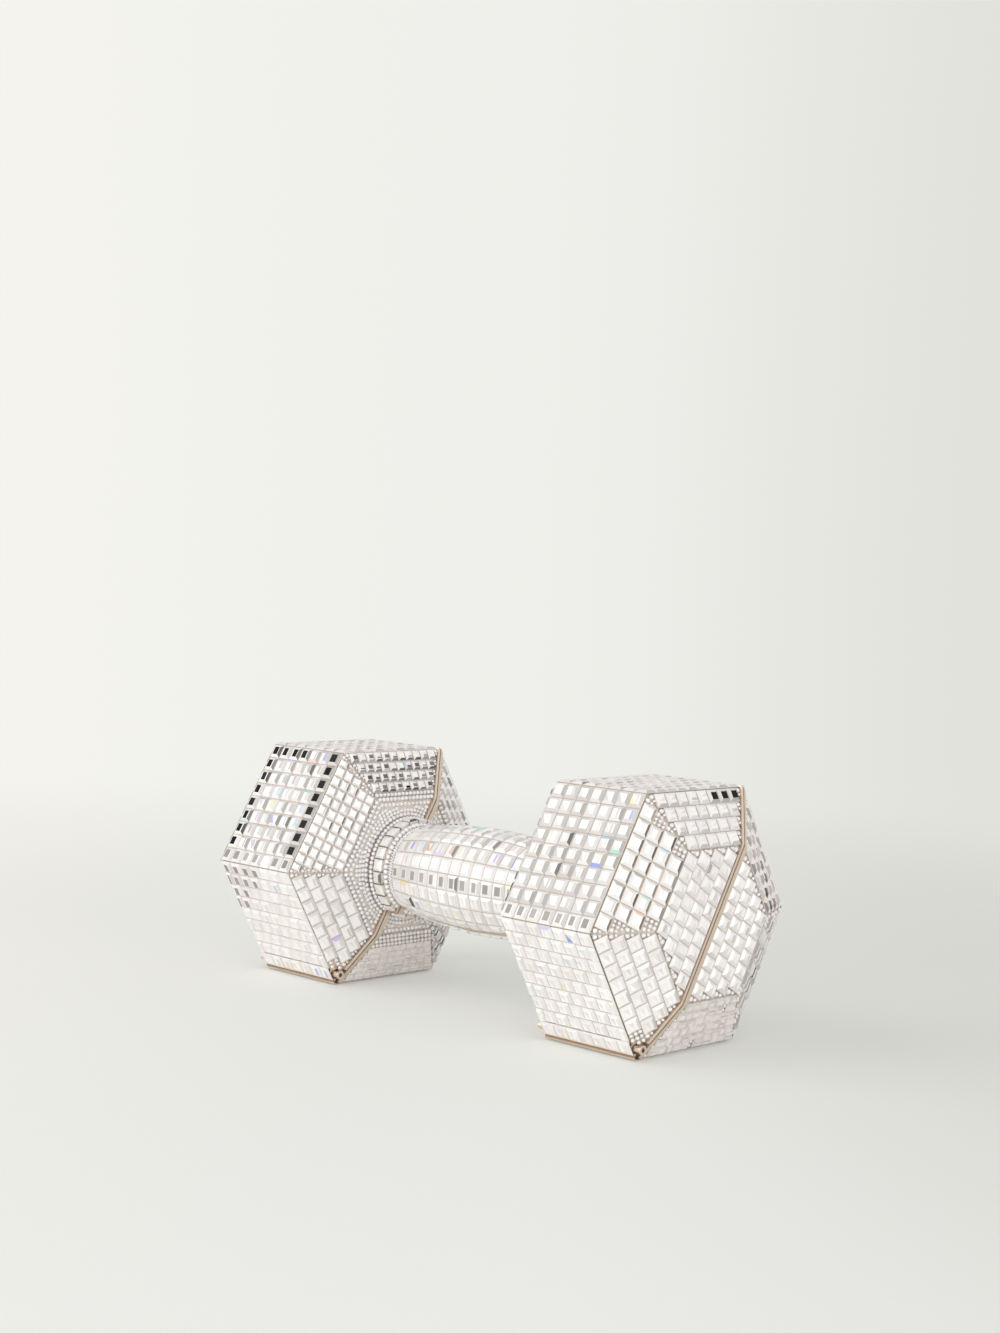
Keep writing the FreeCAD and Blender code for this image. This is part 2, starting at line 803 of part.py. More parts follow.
def base_pieces():
    hole = button_hole(button_clearance)
    pieces = both_heads("base_{}_head_shell", flip_z(head_shell(base_level)))
    pieces["base_grip_shell"] = flip_z(grip_shell(base_level)).cut(hole)
    pieces["base_rim"] = base_rim()
    pieces.update(both_heads("base_{}_head_lining", flip_z(head_lining_layer(base_level))))
    pieces["base_grip_lining"] = flip_z(grip_lining_layer(base_level))
    pieces.update(both_heads("base_{}_hinge_leaf", hinge_leaf(-1)))
    panels = side_stones(base_level, base_level, range(half_sides - 1), True)
    pieces.update(both_heads("base_{}_side_stones", flip_z(Part.makeCompound(panels))))
    pieces.update(both_heads("base_{}_foot_panel", flip_z(facet_slab(half_sides - 1, base_level))))
    for name, band, rows in (("inner", 0, 1), ("outer", 2, bevel_rows)):
        panels = Part.makeCompound(bevel_stones(band, base_level, rows, True))
        pieces.update(both_heads("base_{}_" + name + "_bevel_stones", flip_z(panels)))
    pieces.update(both_heads("base_{}_end_stones", flip_z(end_stones(base_level))))
    pieces.update(both_heads("base_{}_pave_ring", flip_z(pave_plate(base_level))))
    pieces.update(both_heads("base_{}_collar_stones", flip_z(collar_stones(base_level))))
    pieces["base_grip_stones"] = flip_z(grip_stones(base_level)).cut(button_hole(stone_hole_clearance))
    pieces.update(both_heads("{}_hinge_pin", hinge_pin()))
    pieces["clasp_bracket"] = clasp_bracket(base_level)
    pieces["clasp_spring"] = clasp_spring()
    return pieces


def clasp_pieces():
    return {"clasp_button": clasp_button(), "latch_bar": latch_bar()}


def lay_down(shape):
    """Tilt a piece from the bench so that the bag lies on a flat of its heads."""
    placed = shape.copy()
    placed.rotate(ORIGIN, X_AXIS, tilt_degrees)
    placed.translate(Z_AXIS * head_apothem)
    return placed


def main():
    os.makedirs("parts", exist_ok=True)
    for group in (lid_pieces(), base_pieces(), clasp_pieces()):
        for name, shape in group.items():
            lay_down(shape).exportStep("parts/" + name + ".step")


main()
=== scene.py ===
import math
import random
from functools import partial

import bpy
from bpy.props import FloatProperty, FloatVectorProperty, IntProperty, PointerProperty
from mathutils import Matrix, Vector


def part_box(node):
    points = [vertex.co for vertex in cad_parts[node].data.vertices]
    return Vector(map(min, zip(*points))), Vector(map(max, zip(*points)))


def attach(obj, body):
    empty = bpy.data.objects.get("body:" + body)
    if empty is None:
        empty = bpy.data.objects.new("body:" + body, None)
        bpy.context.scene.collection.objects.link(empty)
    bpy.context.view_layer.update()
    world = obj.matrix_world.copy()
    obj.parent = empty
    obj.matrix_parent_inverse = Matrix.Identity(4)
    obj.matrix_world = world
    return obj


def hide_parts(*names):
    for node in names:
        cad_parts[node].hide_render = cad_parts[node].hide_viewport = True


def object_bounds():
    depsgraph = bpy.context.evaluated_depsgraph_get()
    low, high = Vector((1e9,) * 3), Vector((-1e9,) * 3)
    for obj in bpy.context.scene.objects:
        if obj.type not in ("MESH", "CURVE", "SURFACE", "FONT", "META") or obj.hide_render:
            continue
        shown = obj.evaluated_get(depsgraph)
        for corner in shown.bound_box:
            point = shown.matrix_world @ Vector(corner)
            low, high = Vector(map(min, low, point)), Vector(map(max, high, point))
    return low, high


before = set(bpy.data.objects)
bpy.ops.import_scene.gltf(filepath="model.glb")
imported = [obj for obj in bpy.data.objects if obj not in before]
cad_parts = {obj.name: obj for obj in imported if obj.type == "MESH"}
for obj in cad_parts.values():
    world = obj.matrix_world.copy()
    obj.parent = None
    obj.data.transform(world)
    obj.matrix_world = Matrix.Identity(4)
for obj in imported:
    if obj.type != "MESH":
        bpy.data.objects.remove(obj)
cad_low, cad_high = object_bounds()

bl_info = {
    "name": "Crystal Dumbbell Minaudiere",
    "version": (1, 0, 0),
    "blender": (4, 5, 0),
    "location": "View3D > Sidebar > Minaudiere",
    "description": "Sets stones, beads, wires and linings on a hard evening bag in the form of a dumbbell",
    "category": "Object",
}

SIXTH = math.radians(60)
# A hexagon's apothem over its corner radius, and half its side over its apothem
HEX_COS, HEX_TAN = math.cos(SIXTH / 2), math.tan(SIXTH / 2)
HALF_LENGTH = cad_high.x
HEAD_APOTHEM = cad_high.z / 2
ALONG = Vector((1, 0, 0))
# The bag is laid out with its parting plane level, then rolled by a sixth of a turn onto a flat.
STAND = Matrix.Translation((0, 0, HEAD_APOTHEM)) @ Matrix.Rotation(SIXTH, 4, "X")


# Sizes and colours in the sidebar

def linear(code):
    """An sRGB hex colour as linear red, green, blue and alpha."""
    parts = [int(code[k:k + 2], 16) / 255 for k in (1, 3, 5)]
    return [p / 12.92 if p <= 0.04045 else ((p + 0.055) / 1.055) ** 2.4 for p in parts] + [1.0]


def bag_length(name, description, default):
    return FloatProperty(name=name, description=description, default=default, unit="LENGTH")


def bag_count(name, description, default):
    return IntProperty(name=name, description=description, default=default)


def bag_colour(name, description, code):
    return FloatVectorProperty(name=name, description=description, default=linear(code), size=4, subtype="COLOR")


class MinaudiereSizes(bpy.types.PropertyGroup):
    head_side_length: bag_length("Head side", "Length of a head's side flats along the bag", 0.033)
    bevel_depth: bag_length("Bevel depth", "Length of each sloping end of a head along the bag", 0.008)
    small_face_apothem: bag_length("End face", "From the axis to a side of the end face", 0.02044)
    stone_height: bag_length("Stone height", "From the metal to the tables of the stones", 0.0016)
    stone_pitch: bag_length("Stone pitch", "Spacing of the square stones on the heads", 0.0045)
    inner_pitch: bag_length("Inner stone pitch", "Spacing of the smaller stones on the inner bevels", 0.0032)
    end_pitch: bag_length("End stone pitch", "Spacing of the stones on the end faces", 0.0039)
    stone_gap: bag_length("Stone gap", "Width of the lip between neighbouring stones", 0.0003)
    collar_gap: bag_length("Collar gap", "Clear gap between the stones of a collar", 0.00028)
    stone_crown: bag_length("Stone crown", "Width of the sloping facets round a table", 0.00082)
    seam: bag_length("Seam", "Metal left bare on each side of a ridge", 0.0001)
    foot_gap: bag_length("Foot gap", "Clear gap between the small stones beside the foot", 0.0001)
    row_wire: bag_length("Row wire", "Thickness of the wire between two rows of stones", 0.00012)
    wire: bag_length("Ridge wire", "Thickness of the wire along a ridge", 0.00016)
    pave_pitch: bag_length("Pave pitch", "Spacing of the small round stones", 0.00135)
    border_bead: bag_length("Border bead", "Diameter of the round stones along a border", 0.0015)
    lid_level: bag_length("Lid rim", "From the parting plane to the top of the lid's rim", 0.000975)
    base_level: bag_length("Base rim", "From the parting plane to the foot of the base's rim", 0.001675)
    barrel_radius: bag_length("Hinge barrel", "Radius of the hinge barrels", 0.0009)
    barrel_room: bag_length("Barrel room", "Clear air round a hinge barrel", 0.0002)
    pin_recess: bag_length("Pin recess", "From the end of a hinge pin to the end of its barrel", 0.0005)
    ring_radius: bag_length("Hinge ring", "Radius of the ring that ends a hinge barrel", 0.0013)
    ring_hole: bag_length("Ring hole", "Radius of the hole in a hinge ring", 0.00065)
    ring_width: bag_length("Ring width", "Width of a hinge ring along the bag", 0.0003)
    cover_level: bag_length("Cover level", "From the parting plane to the foot of the strip over the hinge", 0.00045)
    cover_thickness: bag_length("Cover thickness", "Thickness of the strip over the hinge, stones included", 0.0006)
    cover_stone: bag_length("Cover stone", "Height of the thin stones on the strip over the hinge", 0.00035)
    cover_height: bag_length("Cover height", "Height of the strip over the hinge along the flat", 0.0043)
    cover_edge: bag_length("Cover edge", "Height of the bare edge along the foot of that strip", 0.0011)
    grip_diameter: bag_length("Grip", "Diameter of the grip over the stones", 0.0316)
    neck_diameter: bag_length("Neck", "Diameter of the grip at its ends", 0.0256)
    collar_diameter: bag_length("Collar", "Diameter of the collars over the stones", 0.0306)
    collar_width: bag_length("Collar width", "Width of a collar along the bag", 0.0044)
    grip_stone_height: bag_length("Grip stone height", "From the metal of the grip to the tables", 0.0014)
    button_room: bag_length("Button room", "Radius left free of square stones round the clasp button", 0.0043)
    button_ring: bag_length("Button ring", "Radius of the ring of beads round the clasp button", 0.0034)
    barrel_half: bag_length("Half barrel", "From the middle of the grip to its last square stones", 0.0285)
    neck_rings: bag_count("Neck rings", "Rings of beads at each neck of the grip", 3)
    side_columns: bag_count("Side columns", "Stones along the length of a side flat", 7)
    bevel_rows: bag_count("Bevel rows", "Rows of stones on an outer bevel", 4)
    inner_rows: bag_count("Inner rows", "Rows of stones on an inner bevel", 5)
    foot_rows: bag_count("Foot rows", "Rows of stones on a bevel beside the foot", 6)
    cushion_rows: bag_count("Bead rows", "Rows of beads between a collar's ring and the inner bevel below it", 3)
    end_rows: bag_count("End rows", "Rows of stones on each half of an end face", 4)
    grip_rows: bag_count("Grip rows", "Rows of stones on each half of the grip", 10)
    collar_stones: bag_count("Collar stones", "Stones on each half of a collar", 12)
    grip_stones: bag_count("Grip stones", "Stones in a row of the grip", 13)


class MinaudiereColours(bpy.types.PropertyGroup):
    white: bag_colour("White", "Bright facet of a foiled stone", "#FEFBFA")
    # A facet's painted reflection of the gilt setting, and also the tint of the lips, the pavilion sides and the
    # beads
    cream: bag_colour("Cream", "Facet that shows the gilt setting", "#EEE7E0")
    grey: bag_colour("Grey", "Facet in half shade", "#B1ACA8")
    # Painted deep shade and dark reflections on the stones' facets, and the painted shade of the pin heads in the
    # hinge rings
    smoke: bag_colour("Smoke", "Facet in deep shade", "#514D4B")
    # Painted reflection: the black of the darkest tables, which stand for dark surroundings mirrored in them
    dark_reflection: bag_colour("Dark reflection", "Darkest table", "#161413")
    blush: bag_colour("Blush", "Warm tint of the stones low on the bag", "#F0E3DD")
    plating: bag_colour("Plating", "Champagne gold plating of the rims", "#EEDBCA")
    bronze: bag_colour("Bronze", "Darker gilt of wires and hinges", "#A28D74")
    bed: bag_colour("Bed", "Pale lacquer on the shell between the stones", "#F1E8E0")
    steel: bag_colour("Steel", "Clasp and spring", "#BDBDBE")
    lining: bag_colour("Lining", "Kid leather inside the bag", "#CFC8BE")
    backdrop: bag_colour("Backdrop", "Pale studio paper", "#EFF0EB")
    # Painted light on the studio paper and backdrop: lighter towards the key lamp, darker away from it
    backdrop_lit: bag_colour("Lit backdrop", "Studio paper towards the key lamp", "#F4F3EE")
    backdrop_dim: bag_colour("Dim backdrop", "Studio paper away from the key lamp", "#E2E2DD")


def sizes():
    return bpy.context.scene.minaudiere_sizes


def palette():
    return bpy.context.scene.minaudiere_colours


# Shares of a stone's side, height or gap
CROWN_SHARE = 0.22
PAVILION_SHARE = 0.35
GIRDLE_RISE = 0.14
COVER_RISE = 0.35
LIP_DROP = 0.06
STRIP_SHARES = (0.56, 0.9)
CENTRE_SHARES = (0.14, 0.86)
STRIP_STRAY = 0.16
TABLE_TILT = 0.03
NARROW_SHARE = 0.62
EDGE_MARGIN = 0.2
BEAD_LEVEL_SHARE = 0.35
WIRE_LEVEL_SHARE = 0.16
COLLAR_WIRE_FILL = 0.9
COLLAR_WIRE_DEPTH = 0.4

# Shares of a bead's diameter, then of its radius
BEAD_FILL = 0.49
PAVE_FILL = 0.53
PAVE_START = 0.05
PAVE_MARGIN = 1.3
SUNK = 0.2
COLLAR_BEAD_SHARE = 0.25
CELL_FILL = 0.96
NECK_SUNK = 1.1
BUTTON_BEAD_RISE = 0.7
BUTTON_BEAD_FILL = 0.94

# Beads in a corner, stones in painted dark reflection along a flat at its corner, bright ones before a painted
# dark band, and tables painted with a black reflection on a bevel
CORNER_BEADS, DARK_CORNER, BRIGHT_START, DARK_REFLECTION_TABLES = 3, 4, 3, 3
# How far the joints beside the foot stray, as a share of a stone's width
FOOT_STRAY = 0.5

# Metres
LIP_INSET = 0.00003
LEAST_BEAD = 0.00034
PIN_DIMPLE = LEAST_BEAD / 10
RIM_SLIT = 0.00035

# The cheeks that end the strip over the hinge, as shares of its bare edge and of themselves, and where the ridge
# wire stops short of the barrel, in radii
CHEEK_SHARE = 0.6
CHEEK_SETBACK = 1.45
WIRE_STOP = 4

# Polish and grain of the materials, and the painted shade in the leather's creases
FOIL_GLOSS, DARK_REFLECTION_GLOSS = 0.45, 0.08
MARK_MM, PEBBLE_MM = 3.03, 0.909
GRAIN_RELIEF = 0.1
WORN_TONE, CREASE_SHADE = 0.82, 0.72
RUBBED, DULLED = 0.75, 1.3

# The leather is remeshed in small cells, smoothed, then thinned to a share of its faces.
SOFTENING = {
    "REMESH": {"mode": "VOXEL", "voxel_size": 0.0003, "use_smooth_shade": True},
    "SMOOTH": {"factor": 0.4, "iterations": 2},
    "DECIMATE": {"ratio": 0.12},
}

# The paper's colour is painted lighter towards the key lamp and darker away from it, a painted falloff of light,
# and it glows by itself far from the bag; the least share of that glow, near the bag, is painted light that
# lightens the bag's shadow.
ASIDE = (0.712, 0.702, 0.0)
PAPER_REACH = 0.6
PAPER_SPREAD = 0.24
GLOW_START, GLOW_END, LEAST_GLOW = 0.15, 0.65, 0.25
FLOOR_RADIUS = 6.0
FLOOR_SIDES = 64
# The air is brighter round the horizon than overhead, as between large white screens.
HORIZON_LIGHT, OVERHEAD_LIGHT = 0.88, 0.52

# Name, place, width in metres and power in watts
LAMPS = (
    ("key_lamp", (-0.9, -1.25, 1.1), 1.5, 10.3),
    ("front_lamp", (0.5, -1.1, 0.12), 0.9, 5.0),
    ("fill_lamp", (1.3, -0.2, 0.3), 1.0, 3.7),
    ("back_lamp", (0.2, 1.4, 1.2), 1.4, 1.5),
)
LAMP_AIM = Vector((0, 0, 0.03))

# The camera's place and two of its axes, fitted to the corners of the bag
CAMERA_PLACE = (0.420228, -0.426745, 0.125674)
CAMERA_RIGHT = (0.71160, 0.70157, 0.03771)
CAMERA_BACK = (0.70017, -0.71258, 0.04465)
SENSOR_MM, LENS_MM = 36.0, 55.45
CLIP_START = 0.01


# Materials

def add_node(tree, kind, links=None, **settings):
    """Adds a shader node, sets its properties or sockets, and links (socket, from node, from socket)."""
    node = tree.nodes.new("ShaderNode" + kind)
    for key, value in settings.items():
        if hasattr(node, key):
            setattr(node, key, value)
        else:
            node.inputs[key.replace("_", " ")].default_value = value
    for socket, source, output in links or []:
        tree.links.new(source.outputs[output], node.inputs[socket])
    return node


def new_material(name, shade, *values):
    """A material whose surface is the last node of those that a function lays."""
    material = bpy.data.materials.new(name)
    material.use_nodes = True
    tree = material.node_tree
    tree.nodes.clear()
    add_node(tree, "OutputMaterial", [("Surface", shade(tree, *values), 0)])
    return material


def darker(colour, share):
    return [c * share for c in colour[:3]] + [1.0]


def cut_crystal(tree, gloss):
    """Foil-backed cut crystal: hard polished facets, each with its own tint, in which shade and reflections are
    painted. A table painted with a black reflection gives back little of the light."""
    tint = add_node(tree, "Attribute", attribute_name="facet_tint")
    place = add_node(tree, "TexCoord")
    # Handling marks about 3 mm across break up the polish.
    marks = add_node(tree, "TexNoise", [("Vector", place, "Object")], Scale=1000 / MARK_MM, Detail=2.0)
    polish = add_node(tree, "MapRange", [("Value", marks, "Fac")], To_Min=0.05, To_Max=0.14)
    return add_node(
        tree, "BsdfPrincipled", [("Base Color", tint, "Color"), ("Roughness", polish, "Result")],
        Metallic=0.1, IOR=1.56, Specular_IOR_Level=gloss)


def plated_metal(tree, colour, roughness, grain_mm, relief, metallic):
    """Plated brass: a soft satin polish with fine wear that changes the gloss from place to place.
    Less metallic, it is brass under a pale lacquer, which is how the shell shows between the stones."""
    place = add_node(tree, "TexCoord")
    grain = add_node(tree, "TexNoise", [("Vector", place, "Object")], Scale=1000 / grain_mm, Detail=4.0)
    wear = add_node(
        tree, "MapRange", [("Value", grain, "Fac")], To_Min=roughness * RUBBED, To_Max=roughness * DULLED)
    tone = add_node(tree, "ValToRGB", [("Fac", grain, "Fac")])
    tone.color_ramp.elements[0].color = darker(colour, WORN_TONE)
    tone.color_ramp.elements[1].color = list(colour)
    bump = add_node(
        tree, "Bump", [("Height", grain, "Fac")], Strength=relief, Distance=GRAIN_RELIEF * grain_mm / 1000)
    return add_node(
        tree, "BsdfPrincipled",
        [("Base Color", tone, "Color"), ("Roughness", wear, "Result"), ("Normal", bump, "Normal")],
        Metallic=metallic)


def kid_leather(tree, colour):
    """Kid leather: a matt pebble about 0.9 mm across, with painted shade darkening the creases between the pebbles.
    """
    place = add_node(tree, "TexCoord")
    pebble = add_node(tree, "TexVoronoi", [("Vector", place, "Object")], Scale=1000 / PEBBLE_MM)
    crease_shade = add_node(tree, "ValToRGB", [("Fac", pebble, "Distance")])
    crease_shade.color_ramp.elements[0].color = list(colour)
    crease_shade.color_ramp.elements[1].color = darker(colour, CREASE_SHADE)
    bump = add_node(tree, "Bump", [("Height", pebble, "Distance")], Strength=0.35, Distance=0.0002, invert=True)
    return add_node(
        tree, "BsdfPrincipled", [("Base Color", crease_shade, "Color"), ("Normal", bump, "Normal")],
        Roughness=0.62, Sheen_Weight=0.15)


def paper_tone(tree, source, output):
    """The paper's three tones, a painted light that runs from the bright side of the key lamp to the dim side
    away from it.
    """
    colours = palette()
    spread = add_node(
        tree, "MapRange", [("Value", source, output)], From_Min=-PAPER_SPREAD, From_Max=PAPER_SPREAD)
    tone = add_node(tree, "ValToRGB", [("Fac", spread, "Result")])
    tone.color_ramp.interpolation = "EASE"
    tone.color_ramp.elements[0].color = list(colours.backdrop_lit)
    tone.color_ramp.elements[1].color = list(colours.backdrop_dim)
    tone.color_ramp.elements.new(0.5).color = list(colours.backdrop)
    return tone


def seen_directly(tree):
    """1 for rays from the eye, a mirror or a lens, 0 for light that is scattered."""
    path = add_node(tree, "LightPath")
    seen = add_node(tree, "Math", [(0, path, "Is Camera Ray"), (1, path, "Is Glossy Ray")], operation="MAXIMUM")
    return add_node(tree, "Math", [(0, seen, 0), (1, path, "Is Transmission Ray")], operation="MAXIMUM")


def studio_paper(tree):
    """Seamless paper: matt near the bag so it takes the shadow, which a share of painted glow lightens, then the
    backdrop's painted tones glowing far off.
    """
    place = add_node(tree, "TexCoord")
    reach = add_node(tree, "VectorMath", [("Vector", place, "Object")], operation="LENGTH")
    aside = add_node(tree, "VectorMath", [(0, place, "Object")], operation="DOT_PRODUCT")
    aside.inputs[1].default_value = ASIDE
    span = add_node(tree, "Math", [(0, reach, "Value")], operation="ADD")
    span.inputs[1].default_value = PAPER_REACH
    lean = add_node(tree, "Math", [(0, aside, "Value"), (1, span, 0)], operation="DIVIDE")
    tone = paper_tone(tree, lean, 0)
    fade = add_node(
        tree, "MapRange", [("Value", reach, "Value")], From_Min=GLOW_START, From_Max=GLOW_END, To_Min=LEAST_GLOW,
        interpolation_type="SMOOTHSTEP")
    share = add_node(tree, "Math", [(0, fade, "Result"), (1, seen_directly(tree), 0)], operation="MULTIPLY")
    paper = add_node(tree, "BsdfPrincipled", [("Base Color", tone, "Color")], Roughness=0.95, Specular_IOR_Level=0.1)
    glow = add_node(tree, "Emission", [("Color", tone, "Color")])
    return add_node(tree, "MixShader", [(0, share, 0), (1, paper, "BSDF"), (2, glow, "Emission")])


def finish_named(name):
    """The bag's own finishes, each made once from the colours in the sidebar."""
    colours = palette()
    finishes = {
        "foiled_crystal": (cut_crystal, FOIL_GLOSS),
        "dark_reflection_crystal": (cut_crystal, DARK_REFLECTION_GLOSS),
        "kid_leather": (kid_leather, colours.lining),
        "studio_paper": (studio_paper,),
        # The metals give their colour, roughness, grain in millimetres, relief and how metallic they are.
        # Satin plating on brass: pale gold along the rims
        "champagne_plating": (plated_metal, colours.plating, 0.3, 0.6, 0.05, 0.8),
        # Worn gilt: thin dark lines along the ridges, and the plate over the hinge, dark as painted shade at the
        # slit
        "dark_gilt": (plated_metal, colours.bronze, 0.36, 0.5, 0.08, 1.0),
        # Brass under pale lacquer: a quiet bed between the stones
        "lacquered_shell": (plated_metal, colours.bed, 0.42, 0.8, 0.08, 0.15),
        # Polished steel: the bright grey of the clasp's works
        "polished_steel": (plated_metal, colours.steel, 0.24, 0.5, 0.04, 1.0),
        # Dark steel: the pins, and the pin heads that fill the hinge rings' holes with painted shade
        "pin_hole_shade": (plated_metal, colours.smoke, 0.5, 0.5, 0.05, 0.3),
    }
    if name not in bpy.data.materials:
        new_material(name, *finishes[name])
    return bpy.data.materials[name]


# Tints of the stones

# What a stone may show: a strip across its table, which is a painted reflection, how dusky that is and whether it
# lies in the middle, painted shade on the crown facet that faces away from the light and whether that one is turned
# a quarter, a pale painted shade over the rest of the crown and one corner of the table, the odds of a facet in
# painted deep shade, a table painted with a black reflection or a painted rainbow glint, how much gilt shows in the
# lines between the rows, and a blush all over.
PLAIN = {
    "strip": 0.3, "dusk": 0.5, "centred": False, "shade": 0.3, "turned": False, "pale_shade": 0.0, "smoke": 0.04,
    "dark_reflection": 0.0, "glint": 0.04, "gilt": 0.35, "blush": 0.0,
}
# Painted rainbow glints: pastel colours laid on a facet where a stone's fire would flash
GLINTS = [linear(code) for code in ("#F0A57A", "#7FC4EC", "#6F8DF2", "#F2DF7A", "#7FD6BE", "#B79BE8")]

# Shares towards cream or grey, with a pair where chance adds up to the second number to the first
CREAM_STRAY = 0.4
BEAD_CREAM, BEAD_GREY, BEAD_BLUSH = 0.3, 0.2, 0.1
SHADE_SPREAD = (0.4, 1.2)
LIT_SHADE, END_SHADE = 0.06, 0.1
LIT_PALE_SHADE, END_PALE_SHADE = 0.7, 0.6
CORNER_SHADES = (0.2, 0.15)
GLINT_SPREAD = (0.1, 0.6)
DUSK_CREAM = 0.6
SIDE_GREY, LIP_GREY = 0.1, 0.8
# Depths: up to 1 runs to grey, up to 2 on to smoke, and the last is where the painted black reflection begins.
STRIP_SPREAD, CENTRE_SPREAD, SMOKE_SPREAD = (0.5, 0.8), (0.85, 0.25), (1.2, 0.8)
DARK_REFLECTION_DEPTH = 2.2
# Crown facets round a table painted with a black reflection: shade on the lit one, depth on the shady one, then
# the same for the two ends
DARK_REFLECTION_LIT, DARK_REFLECTION_SHADY, DARK_REFLECTION_ENDS = 0.45, 0.9, (0.3, 1.2)


def blend(a, b, share):
    return [x + (y - x) * share for x, y in zip(a, b)]


def drawn(chance, spread):
    return spread[0] + spread[1] * chance.random()


def stone_tints(chance, tone, mirrored):
    """Tints of one stone's 18 faces: its foot, four pavilion sides, the lip's four sides, four crown facets, the
    strip across its table and two parts on each side of it. Painted shade falls on the facet that faces away from
    the light, deepest on a smoky facet; the strip and a black table are painted reflections, and a glint is a
    painted highlight in colour."""
    colours = palette()
    dark_reflection = list(colours.dark_reflection)
    white = blend(colours.white, colours.blush, tone["blush"])
    white = blend(white, colours.cream, CREAM_STRAY * chance.random() ** 2)

    def shaded(amount):
        return blend(white, colours.grey, min(1, amount * drawn(chance, SHADE_SPREAD)))

    def dusky(depth):
        if depth < 1:
            return blend(blend(white, colours.cream, DUSK_CREAM), colours.grey, depth)
        if depth > DARK_REFLECTION_DEPTH:
            return dark_reflection
        return blend(colours.grey, colours.smoke, min(1, depth - 1))

    # A pale painted shade over the crown and one corner of the table
    pale_shade = tone["pale_shade"]
    lit, shady = shaded(LIT_SHADE + LIT_PALE_SHADE * pale_shade), shaded(tone["shade"])
    ends = [shaded(END_SHADE + END_PALE_SHADE * pale_shade), shaded(END_SHADE + tone["shade"] / 2)]
    table = [shaded(pale_shade) if pale_shade else white] + [shaded(amount) for amount in CORNER_SHADES] + [white]
    strip = white
    if chance.random() < tone["strip"]:
        strip = dusky(tone["dusk"] * drawn(chance, CENTRE_SPREAD if tone["centred"] else STRIP_SPREAD))
    if chance.random() < tone["smoke"]:
        shady = dusky(drawn(chance, SMOKE_SPREAD))
    if chance.random() < tone["dark_reflection"]:
        table, strip = [dark_reflection] * 4, dark_reflection
        lit, shady = shaded(DARK_REFLECTION_LIT), dusky(DARK_REFLECTION_SHADY)
        ends = [shaded(DARK_REFLECTION_ENDS[0]), dusky(DARK_REFLECTION_ENDS[1])]
    if chance.random() < tone["glint"]:
        glint = blend(GLINTS[chance.randrange(len(GLINTS))], white, drawn(chance, GLINT_SPREAD))
        pick = chance.randrange(4)
        if pick == 0:
            lit = glint
        elif pick == 1 and tone["dark_reflection"] == 0:
            table[chance.randrange(4)] = glint
        elif pick == 2 and strip != dark_reflection:
            strip = glint
        else:
            ends[chance.randrange(2)] = glint
    side = blend(colours.cream, colours.grey, SIDE_GREY)
    lip = blend(colours.cream, colours.grey, LIP_GREY * tone["gilt"])
    line = blend(colours.bed, colours.bronze, tone["gilt"])
    crown = [lit, ends[0], shady, ends[1]]
    if tone["turned"]:
        crown = [lit, ends[0], ends[1], shady]
    elif mirrored:
        crown = [shady, ends[0], lit, ends[1]]
    return [side] * 5 + [lip, line] * 2 + crown + [strip] + table


def bead_tint(chance, blush):
    colours = palette()
    white = blend(blend(colours.white, colours.blush, blush), colours.cream, BEAD_CREAM * chance.random())
    return blend(white, colours.grey, BEAD_GREY * chance.random() ** 3)


# Stones, beads and wires

def inset_ring(corners, distance):
    """The four corners of a stone moved inwards from its sides."""
    ring = []
    for k, corner in enumerate(corners):
        ahead = (corners[(k + 1) % 4] - corner).normalized()
        behind = (corners[k - 1] - corner).normalized()
        ring.append(corner + (ahead + behind) * distance)
    return ring


def about_axis(x, radius, turn):
    """A point round the bag's axis."""
    return Vector((x, radius * math.cos(turn), radius * math.sin(turn)))


